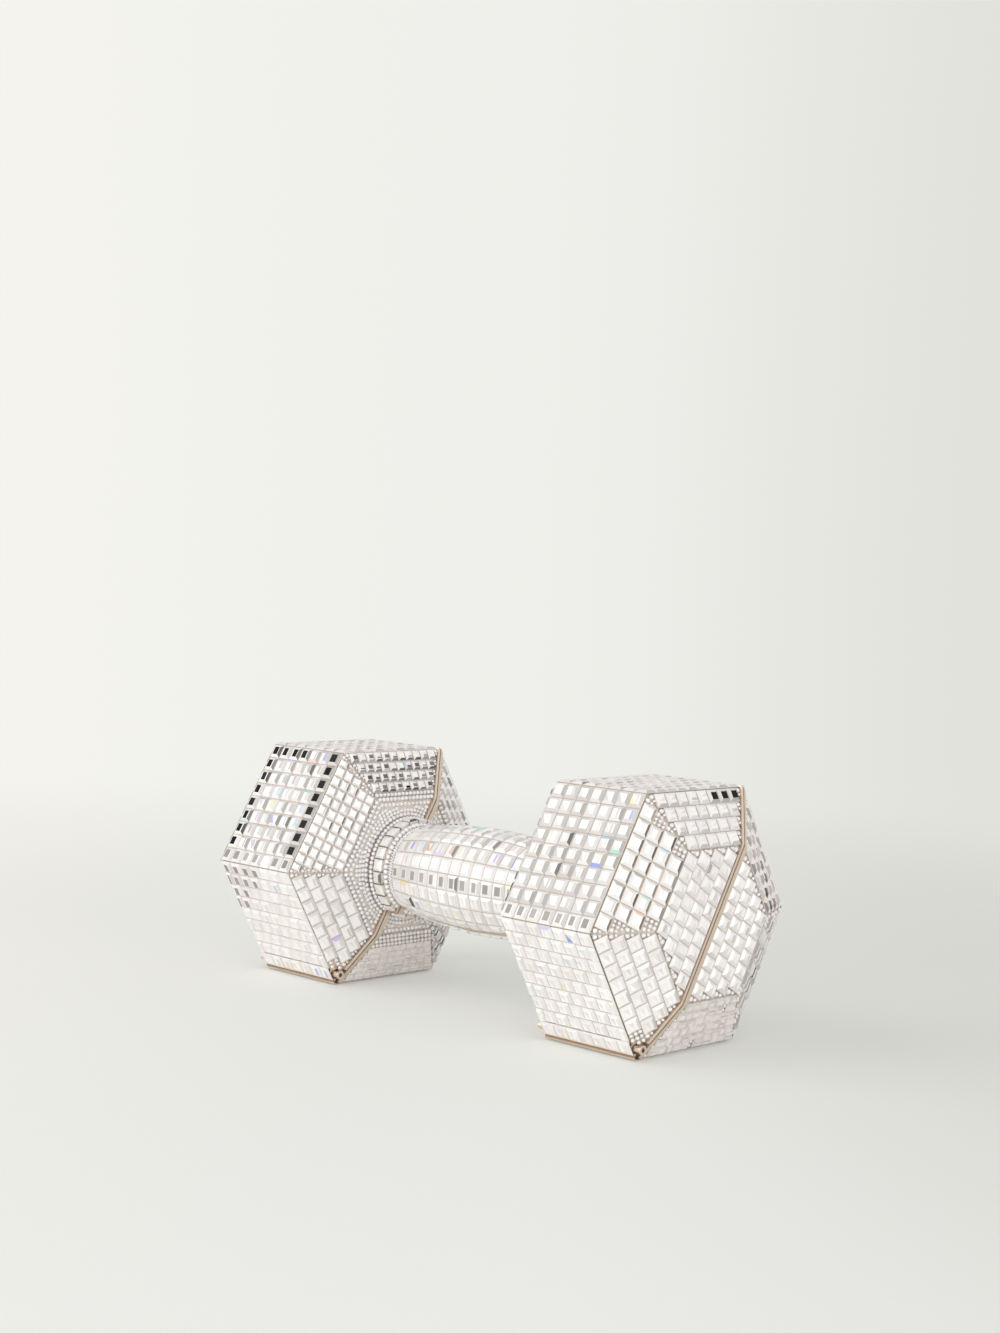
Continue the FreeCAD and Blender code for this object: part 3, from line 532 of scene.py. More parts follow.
class Setting:
    """Gathers the stones, beads and wires of one piece before they become a mesh."""

    def __init__(self, name, mirrored=False, blush=BEAD_BLUSH):
        self.name, self.mirrored, self.blush = name, mirrored, blush
        self.random = random.Random(name)
        self.points, self.faces, self.tints, self.smooth = [], [], [], []

    def add(self, points, faces, tints, smooth=False):
        start = len(self.points)
        self.points += points
        self.faces += [[start + k for k in face] for face in faces]
        self.tints += tints
        self.smooth += [smooth] * len(faces)

    def add_metal(self, points, faces):
        self.add(points, faces, [[1.0] * 4] * len(faces))

    def stone(self, corners, up, height, tone, gap=None, rise=GIRDLE_RISE):
        """A square stone in a metal lip, with a pavilion below, a crown above and a table in three bands, the
        outer two cut across. The corners run across the flat, then along it. A gap of its own leaves no lip."""
        size = sizes()
        middle = inset_ring(corners, (gap or size.stone_gap) / 2)
        side = min((middle[1] - middle[0]).length, (middle[3] - middle[0]).length)
        crown = min(size.stone_crown, CROWN_SHARE * side)
        foot = [p - up * (height / 2) for p in inset_ring(middle, crown * PAVILION_SHARE)]
        lip = [p + up * (height * (rise - LIP_DROP)) for p in (middle if gap else inset_ring(corners, LIP_INSET))]
        girdle = [p + up * (height * rise) for p in middle]
        table = self.tilted([p + up * (height / 2) for p in inset_ring(middle, crown)], up)
        shares = CENTRE_SHARES if tone["centred"] else STRIP_SHARES
        shares = [s + STRIP_STRAY * (self.random.random() - 0.5) for s in shares]
        if self.mirrored:
            shares = [1 - s for s in reversed(shares)]
        cuts = [table[k].lerp(table[3 - k], s) for s in shares for k in (0, 1)]
        faces = [[3, 2, 1, 0]]
        for ring in (0, 4):
            faces += [[ring + k, ring + (k + 1) % 4, ring + 4 + (k + 1) % 4, ring + 4 + k] for k in range(4)]
        faces += [[8, 9, 13, 12], [9, 10, 14, 19, 17, 13], [10, 11, 15, 14], [11, 8, 12, 16, 18, 15]]
        faces += [[16, 17, 19, 18], [12, 13, 17], [12, 17, 16], [18, 19, 15], [19, 14, 15]]
        self.add(foot + lip + girdle + table + cuts, faces, stone_tints(self.random, tone, self.mirrored))

    def tilted(self, table, up):
        """Each table leans a little its own way, so that no two stones mirror quite the same."""
        middle = sum(table, Vector()) / len(table)
        across, along = ((table[k] - table[0]).normalized() for k in (1, 3))
        lean = [TABLE_TILT * (2 * self.random.random() - 1) for _ in range(2)]
        return [p + up * ((p - middle).dot(across) * lean[0] + (p - middle).dot(along) * lean[1]) for p in table]

    def bead(self, centre, radius):
        """A small round stone, an octahedron with each face cut in four and rounded."""
        axes = [Vector(a) for a in ((1, 0, 0), (0, 1, 0), (-1, 0, 0), (0, -1, 0), (0, 0, 1), (0, 0, -1))]
        points = list(axes)
        middles = {}
        faces = []

        def between(a, b):
            key = (min(a, b), max(a, b))
            if key not in middles:
                middles[key] = len(points)
                points.append((axes[a] + axes[b]).normalized())
            return middles[key]

        for k in range(4):
            for pole, a, b in ((4, k, (k + 1) % 4), (5, (k + 1) % 4, k)):
                x, y, z = between(a, b), between(b, pole), between(pole, a)
                faces += [[a, x, z], [x, b, y], [z, y, pole], [x, y, z]]
        tint = bead_tint(self.random, self.blush)
        self.add([centre + p * radius for p in points], faces, [tint] * len(faces), smooth=True)

    def bar(self, start, end, up, width, depth=None):
        """A wire between two points, square or as deep as it is told to be."""
        along = (end - start).normalized()
        side = along.cross(up).normalized() * (width / 2)
        rise = side.cross(along).normalized() * ((depth or width) / 2)
        points = [p + s for p in (start, end) for s in (side + rise, rise - side, -side - rise, side - rise)]
        faces = [[3, 2, 1, 0], [4, 5, 6, 7]]
        self.add_metal(points, faces + [[k, (k + 1) % 4, 4 + (k + 1) % 4, 4 + k] for k in range(4)])

    def ring(self, centre, along, radius, hole, width, steps=24):
        """A flat ring about an axis."""
        side = along.orthogonal().normalized()
        points = []
        faces = []
        for k in range(steps):
            out = Matrix.Rotation(2 * math.pi * k / steps, 3, along) @ side
            points += [centre + out * r + along * x for r, x in (
                (radius, 0), (radius, width), (hole, width), (hole, 0))]
            here, ahead = 4 * k, 4 * ((k + 1) % steps)
            faces += [[here + j, ahead + j, ahead + (j + 1) % 4, here + (j + 1) % 4] for j in range(4)]
        self.add_metal(points, faces)

    def turn_over(self):
        """Turns what was laid on the lid's half over onto the base's half."""
        self.points = [Vector((p.x, p.y, -p.z)) for p in self.points]
        self.faces = [face[::-1] for face in self.faces]

    def make(self, body, nodes=(), finish="foiled_crystal"):
        """Turns what was gathered into a piece that rides on a body and stands for CAD nodes."""
        place = STAND @ Matrix.Scale(-1, 4, ALONG) if self.mirrored else STAND
        mesh = bpy.data.meshes.new(self.name)
        mesh.from_pydata([place @ p for p in self.points], [], self.faces)
        mesh.materials.append(finish_named(finish))
        dark_reflection = list(palette().dark_reflection)
        if dark_reflection in self.tints:
            mesh.materials.append(finish_named("dark_reflection_crystal"))
            mesh.polygons.foreach_set("material_index", [int(tint == dark_reflection) for tint in self.tints])
        tints = mesh.attributes.new("facet_tint", "FLOAT_COLOR", "CORNER")
        flat = []
        for face, tint in zip(self.faces, self.tints):
            flat += list(tint) * len(face)
        tints.data.foreach_set("color", flat)
        mesh.polygons.foreach_set("use_smooth", self.smooth)
        if self.mirrored:
            mesh.flip_normals()
        mesh.update()
        piece = bpy.data.objects.new(self.name, mesh)
        bpy.context.scene.collection.objects.link(piece)
        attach(piece, body)
        if nodes:
            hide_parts(*nodes)


# The heads

def half_level(body):
    """From the parting plane to the stones of a half."""
    return sizes().lid_level if body == "lid" else sizes().base_level


def half_sectors(body):
    return (0, 1, 2) if body == "lid" else (3, 4, 5)


def halves_and_heads():
    for body in ("lid", "base"):
        for side in ("right", "left"):
            yield body, side, side == "left"


def lay_halves(kind, node, lay, blush=BEAD_BLUSH):
    """Lays a piece on each half of each head, as on the lid, and turns it over where it is the base's."""
    for body, side, mirrored in halves_and_heads():
        setting = Setting(f"{body}_{side}_{kind}", mirrored, blush)
        lay(setting, half_level(body))
        if body == "base":
            setting.turn_over()
        setting.make(body, [f"{body}_{side}_{node}"])


def head_profile(inset):
    """(x, apothem) corners of the right head, with every flat moved inwards by the inset."""
    size = sizes()
    side_end = HALF_LENGTH - size.bevel_depth
    side_start = side_end - size.head_side_length
    fall = HEAD_APOTHEM - size.small_face_apothem
    slant = math.hypot(size.bevel_depth, fall)
    side_pull = inset * (slant - size.bevel_depth) / fall
    face_pull = inset * (slant - fall) / size.bevel_depth
    return [
        (side_start - size.bevel_depth + inset, size.small_face_apothem - face_pull),
        (side_start + side_pull, HEAD_APOTHEM - inset),
        (side_end - side_pull, HEAD_APOTHEM - inset),
        (HALF_LENGTH - inset, size.small_face_apothem - face_pull),
    ]


class HeadFlat:
    """One flat of the right head at the stones' girdles: u runs across it, v outwards along it, w up from it.
    Its band is 0 for the inner bevel, 1 for the side and 2 for the outer bevel."""

    def __init__(self, band, sector):
        size = sizes()
        (x0, self.q0), (x1, self.q1) = head_profile(size.stone_height / 2)[band:band + 2]
        outward = about_axis(0, 1, SIXTH * (sector + 0.5))
        run = Vector((x1 - x0, 0, 0)) + outward * (self.q1 - self.q0)
        self.length = run.length
        self.along = run / self.length
        self.across = Vector((0, -outward.z, outward.y))
        self.up = (outward * (x1 - x0) - Vector((self.q1 - self.q0, 0, 0))) / self.length
        self.foot = Vector((x0, 0, 0)) + outward * self.q0
        self.seam = size.seam if band != 1 else LIP_INSET
        level = half_level("lid" if sector < 3 else "base")
        self.low_cut = level / HEX_COS if sector in (0, 3) else 0
        self.high_cut = level / HEX_COS if sector in (2, 5) else 0
        self.covered = band == 1 and sector == 2
        if self.covered:
            foot = HEAD_APOTHEM * HEX_TAN - size.cover_level / HEX_COS
            self.high_cut = self.q0 * HEX_TAN - self.seam - foot + size.cover_edge

    def point(self, u, v, w=0.0):
        return self.foot + self.across * u + self.along * v + self.up * w

    def ends(self, v):
        half = (self.q0 + (self.q1 - self.q0) * v / self.length) * HEX_TAN - self.seam
        return self.low_cut - half, half - self.high_cut

    def corners(self, u0, u1, v0, v1, w=0.0):
        return [self.point(u, v, w) for u, v in ((u0, v0), (u1, v0), (u1, v1), (u0, v1))]


def hinge_axis():
    """The ends of the right hinge's barrel, with the middle of its axis between them."""
    low, high = (STAND.inverted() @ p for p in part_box("right_hinge_pin"))
    middle = (low + high) / 2
    half = ALONG * (abs(high.x - low.x) / 2 + sizes().pin_recess)
    return middle - half, middle, middle + half


def in_hinge_room(point, reach):
    """True where something of that reach about the point would foul the hinge barrel."""
    size = sizes()
    start, middle, end = hinge_axis()
    inside = abs(point.x - middle.x) < (end.x - start.x) / 2 + reach
    away = math.hypot(point.y - middle.y, point.z - middle.z)
    return inside and away < size.barrel_radius + size.barrel_room + reach


def free_bead(setting, centre, reach, radius):
    """A round stone, left out where it would foul the hinge barrel."""
    if not in_hinge_room(centre, reach):
        setting.bead(centre, radius)


def corner_beads(setting, place, leg_u, leg_v, height):
    """Round stones of falling size in the triangle left between a slanted edge and a row's last stone.
    The place gives a point from distances along the row and from the sharp corner towards the square one."""
    short, long = abs(leg_u), abs(leg_v)
    radius = (short + long - math.hypot(short, long)) / 2
    reach = long - radius
    wedge = math.sin(math.atan2(short, long) / 2)
    for _ in range(CORNER_BEADS):
        if radius < LEAST_BEAD:
            break
        centre = place(radius, reach, height * BEAD_LEVEL_SHARE - radius)
        free_bead(setting, centre, radius, radius * CELL_FILL)
        radius *= (1 - wedge) / (1 + wedge)
        reach *= (1 - wedge) / (1 + wedge)


def cell_beads(setting, corners, up, height):
    """Round stones in a cell that is too narrow for a square one, or that the hinge leaves no room for."""
    bead = sizes().border_bead
    sides = [(corners[k] - corners[0]).length for k in (1, 3)]
    columns, rows = (max(1, round(side / bead)) for side in sides)
    radius = min(sides[0] / columns, sides[1] / rows) / 2
    for row in range(rows):
        for k in range(columns):
            near = corners[0].lerp(corners[1], (k + 0.5) / columns)
            far = corners[3].lerp(corners[2], (k + 0.5) / columns)
            centre = near.lerp(far, (row + 0.5) / rows) + up * (height * BEAD_LEVEL_SHARE - radius)
            free_bead(setting, centre, radius, radius * CELL_FILL)


def row_lines(flat, rows, border):
    """Where the rows of a bevel start and end along it, past a border of beads."""
    start, end = flat.seam + border, flat.length - flat.seam
    return [start + (end - start) * k / rows for k in range(rows + 1)]


def set_rows(setting, flat, rows, pitch, tone_at, border=0.0, gap=None, uneven=0.0, aligned=False):
    """Rows parallel to a ridge: each row is as long as the flat allows, and beads fill its ends.
    Uneven rows have their joints out of line, as with stones of several widths, and aligned ones in line."""
    height = sizes().stone_height
    lines = row_lines(flat, rows, border)
    step = lines[1] - lines[0]
    for row, (near, far) in enumerate(zip(lines, lines[1:])):
        first, second = flat.ends(near), flat.ends(far)
        left, right = max(first[0], second[0]), min(first[1], second[1])
        count = max(1, round((right - left) / pitch))
        width = (right - left) / count
        marks = [left + k * width for k in range(count + 1)]
        for k in range(1, count):
            marks[k] += uneven * width * (setting.random.random() - 0.5)
        if aligned:
            whole = range(math.ceil(left / pitch + EDGE_MARGIN), math.floor(right / pitch - EDGE_MARGIN) + 1)
            marks = [left] + [k * pitch for k in whole] + [right]
        for k, (start, end) in enumerate(zip(marks, marks[1:])):
            corners = flat.corners(start, end, near, far)
            narrow = end - start < NARROW_SHARE * pitch
            if narrow or any(in_hinge_room(c, height / 2) for c in corners):
                cell_beads(setting, corners, flat.up, height)
            else:
                setting.stone(corners, flat.up, height, tone_at(row, k), gap)
        for end, edge, sign in ((0, left, -1), (1, right, 1)):
            square, sharp = (near, far) if abs(first[end]) > abs(second[end]) else (far, near)
            turn = 1 if square > sharp else -1

            def place(out, reach, w):
                return flat.point(edge + sign * out, sharp + turn * reach, w)

            corner_beads(setting, place, first[end] - second[end], step, height)


def bead_row(setting, flat, v, pitch):
    """A row of round stones across a flat."""
    left, right = flat.ends(v)
    count = int((right - left) / pitch)
    for k in range(count):
        centre = flat.point(left + (k + 0.5) * (right - left) / count, v)
        free_bead(setting, centre, pitch / 2, pitch * BEAD_FILL)


def set_grid(setting, flat, columns, pitch, staggered, tone_at):
    """Rows along the bag on a side flat, in line or laid like bricks."""
    size = sizes()
    left, right = flat.ends(0)
    rows = round((right - left) / pitch)
    width = (right - left) / rows
    run = flat.length - 2 * size.seam
    for row in range(rows):
        marks = [k / columns for k in range(columns + 1)]
        if staggered and row % 2:
            marks = [0] + [(k + 0.5) / columns for k in range(columns)] + [1]
        height, rise = size.stone_height, GIRDLE_RISE
        if flat.covered and row == rows - 1:
            # The last row lies on the strip over the hinge: thinner stones below a bar that fills the step.
            height, rise = size.cover_stone, -COVER_RISE
            edge = left + row * width + size.seam
            ends = [flat.point(edge, v, size.stone_height / 4) for v in (size.seam, size.seam + run)]
            setting.bar(*ends, flat.up, 2 * size.seam, size.stone_height / 5)
        lift = (size.stone_height - height) / 2
        for column, (start, end) in enumerate(zip(marks, marks[1:])):
            corners = flat.corners(
                left + row * width, left + (row + 1) * width, size.seam + start * run, size.seam + end * run, lift)
            setting.stone(corners, flat.up, height, tone_at(row, column), rise=rise)


def set_end(setting, level):
    """Rows parallel to the rim on one half of an end face."""
    size = sizes()
    x, apothem = head_profile(size.stone_height / 2)[-1]
    radius = apothem / HEX_COS
    low, high = level + size.seam, apothem - size.seam
    step = (high - low) / size.end_rows
    tone = dict(PLAIN, strip=0.12, shade=0.3, smoke=0.05, gilt=0.2)
    for row in range(size.end_rows):
        near, far = low + row * step, low + (row + 1) * step
        wide, narrow = (radius - z * HEX_TAN - size.seam for z in (near, far))
        count = round(2 * narrow / size.end_pitch)
        width = 2 * narrow / count
        for k in range(count):
            y0, y1 = k * width - narrow, (k + 1) * width - narrow
            corners = [Vector((x, y, z)) for y, z in ((y0, near), (y1, near), (y1, far), (y0, far))]
            setting.stone(corners, ALONG, size.stone_height, tone)
        for sign in (-1, 1):

            def place(out, reach, w):
                return Vector((x + w, sign * (narrow + out), far - reach))

            corner_beads(setting, place, wide - narrow, step, size.stone_height)


# The wires and the hinge

def ridge_wires(setting, body):
    """Gilt wires round the outer end of a head's side flats and along one ridge between two of them."""
    size = sizes()
    stations = head_profile(size.stone_height / 2)[1:3]
    level = half_level(body)
    sectors = half_sectors(body)

    def corner(station, k):
        x, apothem = station
        return about_axis(x, apothem / HEX_COS, SIXTH * k)

    def trimmed(a, b, least):
        share = (least - abs(a.z)) / (abs(b.z) - abs(a.z)) if abs(a.z) < least else 0
        return a + (b - a) * share

    a, b = (corner(station, sectors[1]) for station in stations)
    setting.bar(a, b, Vector((0, a.y, a.z)), size.wire)
    for k in sectors:
        a, b = corner(stations[1], k), corner(stations[1], k + 1)
        start = trimmed(a, b, level)
        end = trimmed(b, a, WIRE_STOP * size.barrel_radius if k == 2 else level)
        setting.bar(start, end, (a + b) / 2 - Vector((a.x, 0, 0)), size.wire)


def row_wires(setting, body):
    """Fine gilt wires between the rows of stones on the outer bevel in the middle of a half."""
    size = sizes()
    flat = HeadFlat(2, half_sectors(body)[1])
    level = size.stone_height * WIRE_LEVEL_SHARE
    for v in row_lines(flat, size.bevel_rows, 0)[1:-1]:
        setting.bar(*(flat.point(u, v, level) for u in flat.ends(v)), flat.up, size.row_wire)


def neck_place():
    """Where the grip ends and the right collar begins along the bag."""
    return head_profile(0)[0][0] - sizes().collar_width


def collar_span():
    """Where the square stones of the right collar start and end along the bag, short of a ring of beads."""
    size = sizes()
    start = neck_place() + size.seam / 2
    return start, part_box("base_right_pave_ring")[0].x + size.collar_gap - size.pave_pitch


def collar_wires(setting, body):
    """Dark gilt between the stones of a collar."""
    size = sizes()
    turn = math.pi / size.collar_stones
    if body == "base":
        turn = -turn
    start, end = collar_span()
    radius = (size.collar_diameter / 2 - size.stone_height / 2) / math.cos(turn / 2)
    for k in range(1, size.collar_stones):
        out = about_axis(0, radius, turn * k)
        ends = [out + ALONG * x for x in (start + size.seam, end - size.seam)]
        setting.bar(*ends, out, size.collar_gap * COLLAR_WIRE_FILL, size.stone_height * COLLAR_WIRE_DEPTH)


def hinge_cover(setting, plates):
    """The plate that carries the thin stones over the hinge barrel, dark gilt as painted shade at the slit along the
    strip's foot, with the root that holds it, and what closes the room round the barrel at its ends."""
    size = sizes()
    flat = HeadFlat(1, 2)
    foot = flat.ends(0)[1] + size.cover_edge
    plate = size.cover_thickness - size.cover_stone
    table = size.stone_height / 2
    ends = [size.seam, flat.length - size.seam]

    def strip(target, u, level, width, depth):
        target.bar(*(flat.point(u, v, level) for v in ends), flat.up, width, depth)

    # The plate is dark for painted shade, seen between the thin stones and the bare edge at the foot.
    strip(plates, foot - size.cover_height / 2, table - size.cover_thickness + plate / 2, size.cover_height, plate)
    root = foot - size.cover_height + size.cover_thickness / 2
    strip(setting, root, -size.cover_thickness / 2, size.cover_thickness, size.stone_height - size.cover_thickness)
    strip(setting, foot - size.cover_edge / 4, table - size.cover_stone / 2, size.cover_edge / 2, size.cover_stone)
    # A cheek at each end closes the strip on the side away from the barrel.
    cheek = CHEEK_SHARE * size.cover_edge
    inwards = foot - CHEEK_SETBACK * cheek
    level = table - size.cover_thickness - cheek / 2
    for v in ends:
        inner = v + math.copysign(size.cover_thickness / 2, flat.length / 2 - v)
        setting.bar(*(flat.point(inwards, x, level) for x in (v, inner)), flat.up, cheek)
    # Backing plates under the bevels close the room beside the barrel.
    middle = hinge_axis()[1]
    reach = size.cover_height / 2
    for band in (0, 2):
        bevel = HeadFlat(band, 2)
        clear = (middle - bevel.foot).dot(bevel.across) - size.barrel_radius - size.barrel_room
        near, far = (size.seam, reach) if band else (bevel.length - reach, bevel.length - size.seam)
        setting.bar(*(bevel.point(clear - reach / 2, v, -table) for v in (near, far)), bevel.up, reach, plate)


def hinge_ends(rings, heads, outer):
    """A ring that ends the barrel where it comes out of a bevel, the head of the pin in it, dark as painted shade in
    the ring's hole, and a lug under each end of the barrel."""
    size = sizes()
    start, middle, end = hinge_axis()
    along, centre = (ALONG, end) if outer else (-ALONG, start)
    rings.ring(centre, along, size.ring_radius, size.ring_hole, size.ring_width)
    heads.ring(centre, along, size.ring_hole, PIN_DIMPLE, size.ring_width / 3)
    profile = head_profile(0)
    low, high = -RIM_SLIT / 2, middle.z - size.barrel_radius - size.barrel_room
    for x, turn in ((profile[1][0], -1), (profile[2][0], 1)):
        ends = [Vector((x + turn * out, middle.y, (low + high) / 2)) for out in (size.seam, size.cover_edge)]
        rings.bar(*ends, Vector((0, 0, 1)), 2 * size.barrel_radius, high - low)


class MINAUDIERE_OT_side_crystals(bpy.types.Operator):
    """Sets the square stones on the side flats of both heads"""
    bl_idname = "minaudiere.side_crystals"
    bl_label = "Side crystals"

    def execute(self, context):
        size = sizes()
        for body, side, mirrored in halves_and_heads():
            setting = Setting(f"{body}_{side}_side_crystals", mirrored)
            feet = Setting(f"base_{side}_foot_crystals", mirrored)
            for sector in half_sectors(body):
                target = feet if sector == 3 else setting
                tone_at = partial(self.tone, side, sector)
                set_grid(target, HeadFlat(1, sector), size.side_columns, size.stone_pitch, sector == 2, tone_at)
            setting.make(body, [f"{body}_{side}_side_stones"])
            if body == "base":
                feet.make("base", [f"base_{side}_foot_panel"])
        return {"FINISHED"}

    def tone(self, side, sector, row, column):
        """The flats differ by what they mirror. The upper front ones show bands, with the darkest stones at
        the ends of the left head, and both fall into shade at the ridge below them."""
        size = sizes()
        last_column = size.side_columns - 1
        last_row = round(2 * HEAD_APOTHEM * HEX_TAN / size.stone_pitch) - 1
        if sector == 1 and row == last_row:
            return dict(PLAIN, strip=0.9, dusk=1.35, centred=True, shade=0.4, smoke=0.05)
        if sector == 1 and side == "left":
            if column == 0:
                return dict(PLAIN, dark_reflection=1.0)
            if column == last_column or (row == 0 and column >= BRIGHT_START):
                return dict(PLAIN, strip=1.0, dusk=4.5, centred=True, shade=0.5, smoke=0.3, glint=0.3)
            return dict(PLAIN, strip=0.75, dusk=0.7, shade=0.8, smoke=0.1, glint=0.75)
        if sector == 1:
            return dict(PLAIN, strip=0.4, dusk=0.65, shade=0.65, pale_shade=0.5, smoke=0.04, glint=0.15)
        if sector == 2 and side == "left" and row + last_column - column < DARK_CORNER:
            return dict(PLAIN, strip=1.0, dusk=1.4, centred=True, gilt=0.2)
        if sector == 0:
            return dict(PLAIN, strip=0.6, dusk=0.6, shade=0.6, pale_shade=0.2, smoke=0.02, glint=0.1, gilt=0.2, blush=0.5)
        if sector == 3:
            return dict(PLAIN, blush=0.9, smoke=0.0, glint=0.0)
        return dict(PLAIN, strip=0.25, dusk=0.2, shade=0.15, smoke=0.0, glint=0.15, gilt=0.02)


class MINAUDIERE_OT_bevel_crystals(bpy.types.Operator):
    """Sets the rows of stones and the corner beads on the outer and inner bevels"""
    bl_idname = "minaudiere.bevel_crystals"
    bl_label = "Bevel crystals"

    def execute(self, context):
        for body, side, mirrored in halves_and_heads():
            for place, band in (("outer", 2), ("inner", 0)):
                setting = Setting(f"{body}_{side}_{place}_bevel_crystals", mirrored)
                for sector in half_sectors(body):
                    self.cover(setting, place, HeadFlat(band, sector), sector)
                setting.make(body, [f"{body}_{side}_{place}_bevel_stones"])
        return {"FINISHED"}

    def cover(self, setting, place, flat, sector):
        size = sizes()
        rows, pitch, gap, uneven, beads = size.bevel_rows, size.stone_pitch, None, 0.0, 0
        if place == "inner":
            beads = 1
            if sector in (1, 4):
                rows, pitch = size.inner_rows, size.inner_pitch
            elif sector == 0:
                beads, pitch = 2, size.inner_pitch
        if sector == 3:
            beads = size.cushion_rows if place == "inner" else 0
            rows, pitch, gap, uneven = size.foot_rows - beads // 2, size.inner_pitch, size.foot_gap, FOOT_STRAY
        for k in range(beads):
            bead_row(setting, flat, flat.seam + (k + 0.5) * size.border_bead, size.border_bead)
        tone_at = partial(self.tone, place, sector)
        set_rows(
            setting, flat, rows, pitch, tone_at, beads * size.border_bead, gap, uneven, aligned=sector in (1, 4))

    def tone(self, place, sector, row, k):
        """The bevels differ by what they mirror too, with three tables painted with a black reflection at the top of
        each head.
        """
        outer = place == "outer"
        if sector == 0 and outer:
            if row == 0 and k < DARK_REFLECTION_TABLES:
                return dict(PLAIN, dark_reflection=1.0)
            return dict(PLAIN, strip=0.2, dusk=0.6, shade=0.8, turned=True, smoke=0.3)
        if sector == 0:
            return dict(PLAIN, strip=0.7, dusk=1.8, centred=k % 2 == 0, shade=0.8, smoke=0.7)
        if sector == 3:
            shade = 0.45 if outer else 0.1
            return dict(PLAIN, blush=0.4, smoke=0.0, shade=shade, strip=0.3, dusk=0.6, glint=0.0, gilt=0.1)
        if sector == 2:
            return dict(PLAIN, strip=0.25, dusk=0.4, shade=0.4, smoke=0.02, gilt=0.35)
        if not outer:
            return dict(PLAIN, strip=0.25, shade=0.7, smoke=0.35)
        if sector == 5:
            return dict(PLAIN, strip=0.8, dusk=1.1, shade=0.8, smoke=0.25, blush=0.5)
        return dict(PLAIN, strip=0.35, shade=0.9, smoke=0.85 if sector == 1 else 0.1, glint=0.12)


class MINAUDIERE_OT_end_crystals(bpy.types.Operator):
    """Sets the rows of stones on the end faces"""
    bl_idname = "minaudiere.end_crystals"
    bl_label = "End crystals"

    def execute(self, context):
        lay_halves("end_crystals", "end_stones", set_end)
        return {"FINISHED"}


class MINAUDIERE_OT_pave_beads(bpy.types.Operator):
    """Fills the flat rings round the collars with small round stones"""
    bl_idname = "minaudiere.pave_beads"
    bl_label = "Pave beads"

    def execute(self, context):
        lay_halves("pave_beads", "pave_ring", self.fill, blush=0.0)
        return {"FINISHED"}

    def fill(self, setting, level):
        """A row along each of the three sides, a ring beside the collar, and smaller beads between them."""
        size = sizes()
        x, apothem = head_profile(size.stone_height)[0]
        bead, pitch = size.border_bead, size.pave_pitch
        level += bead / 2
        corners = [about_axis(x - bead * SUNK, (apothem - bead / 2) / HEX_COS, SIXTH * k) for k in range(4)]
        for a, b in zip(corners, corners[1:]):
            count = int((b - a).length / bead)
            for k in range(count):
                centre = a.lerp(b, (k + 0.5) / count)
                if centre.z > level:
                    setting.bead(centre, bead * BEAD_FILL)

        def kept(y, z):
            return all(
                y * math.cos(SIXTH * (s + 0.5)) + z * math.sin(SIXTH * (s + 0.5)) < apothem - bead * PAVE_MARGIN
                for s in range(3))

        inner = (size.collar_diameter + bead) / 2
        ring_beads(setting, x - bead * SUNK, inner, bead, level)
        step = pitch * HEX_COS
        for ring in range(1, math.ceil((apothem / HEX_COS - inner) / step)):
            ring_beads(setting, x - pitch * SUNK, inner + bead * PAVE_START + ring * step, pitch, level, kept)


# The grip

def ring_stone(setting, row, rows, stations, height, level, tone, gap=None):
    """A stone on one flat of the grip or collar, between two (x, apothem) stations over the stones."""
    turn = math.pi / rows
    corners = []
    for x, apothem in stations:
        radius = (apothem - height / 2) / math.cos(turn / 2)
        for k in (row, row + 1) if x == stations[0][0] else (row + 1, row):
            y, z = radius * math.cos(turn * k), radius * math.sin(turn * k)
            if z < level:
                y, z = y - math.copysign(level * math.tan(turn / 2), y), level
            corners.append(Vector((x, y, z)))
    up = (corners[1] - corners[0]).cross(corners[3] - corners[0]).normalized()
    setting.stone(corners, up, height, tone, gap)


def ring_beads(setting, x, out, pitch, level, kept=None):
    """A half ring of round stones about the bag's axis, all of it or where it is kept."""
    start = math.asin(level / out)
    count = int((math.pi - 2 * start) * out / pitch)
    for k in range(count + 1):
        turn = start + (math.pi - 2 * start) * k / count
        y, z = out * math.cos(turn), out * math.sin(turn)
        if kept is None or kept(y, z):
            setting.bead(Vector((x, y, z)), pitch * PAVE_FILL)


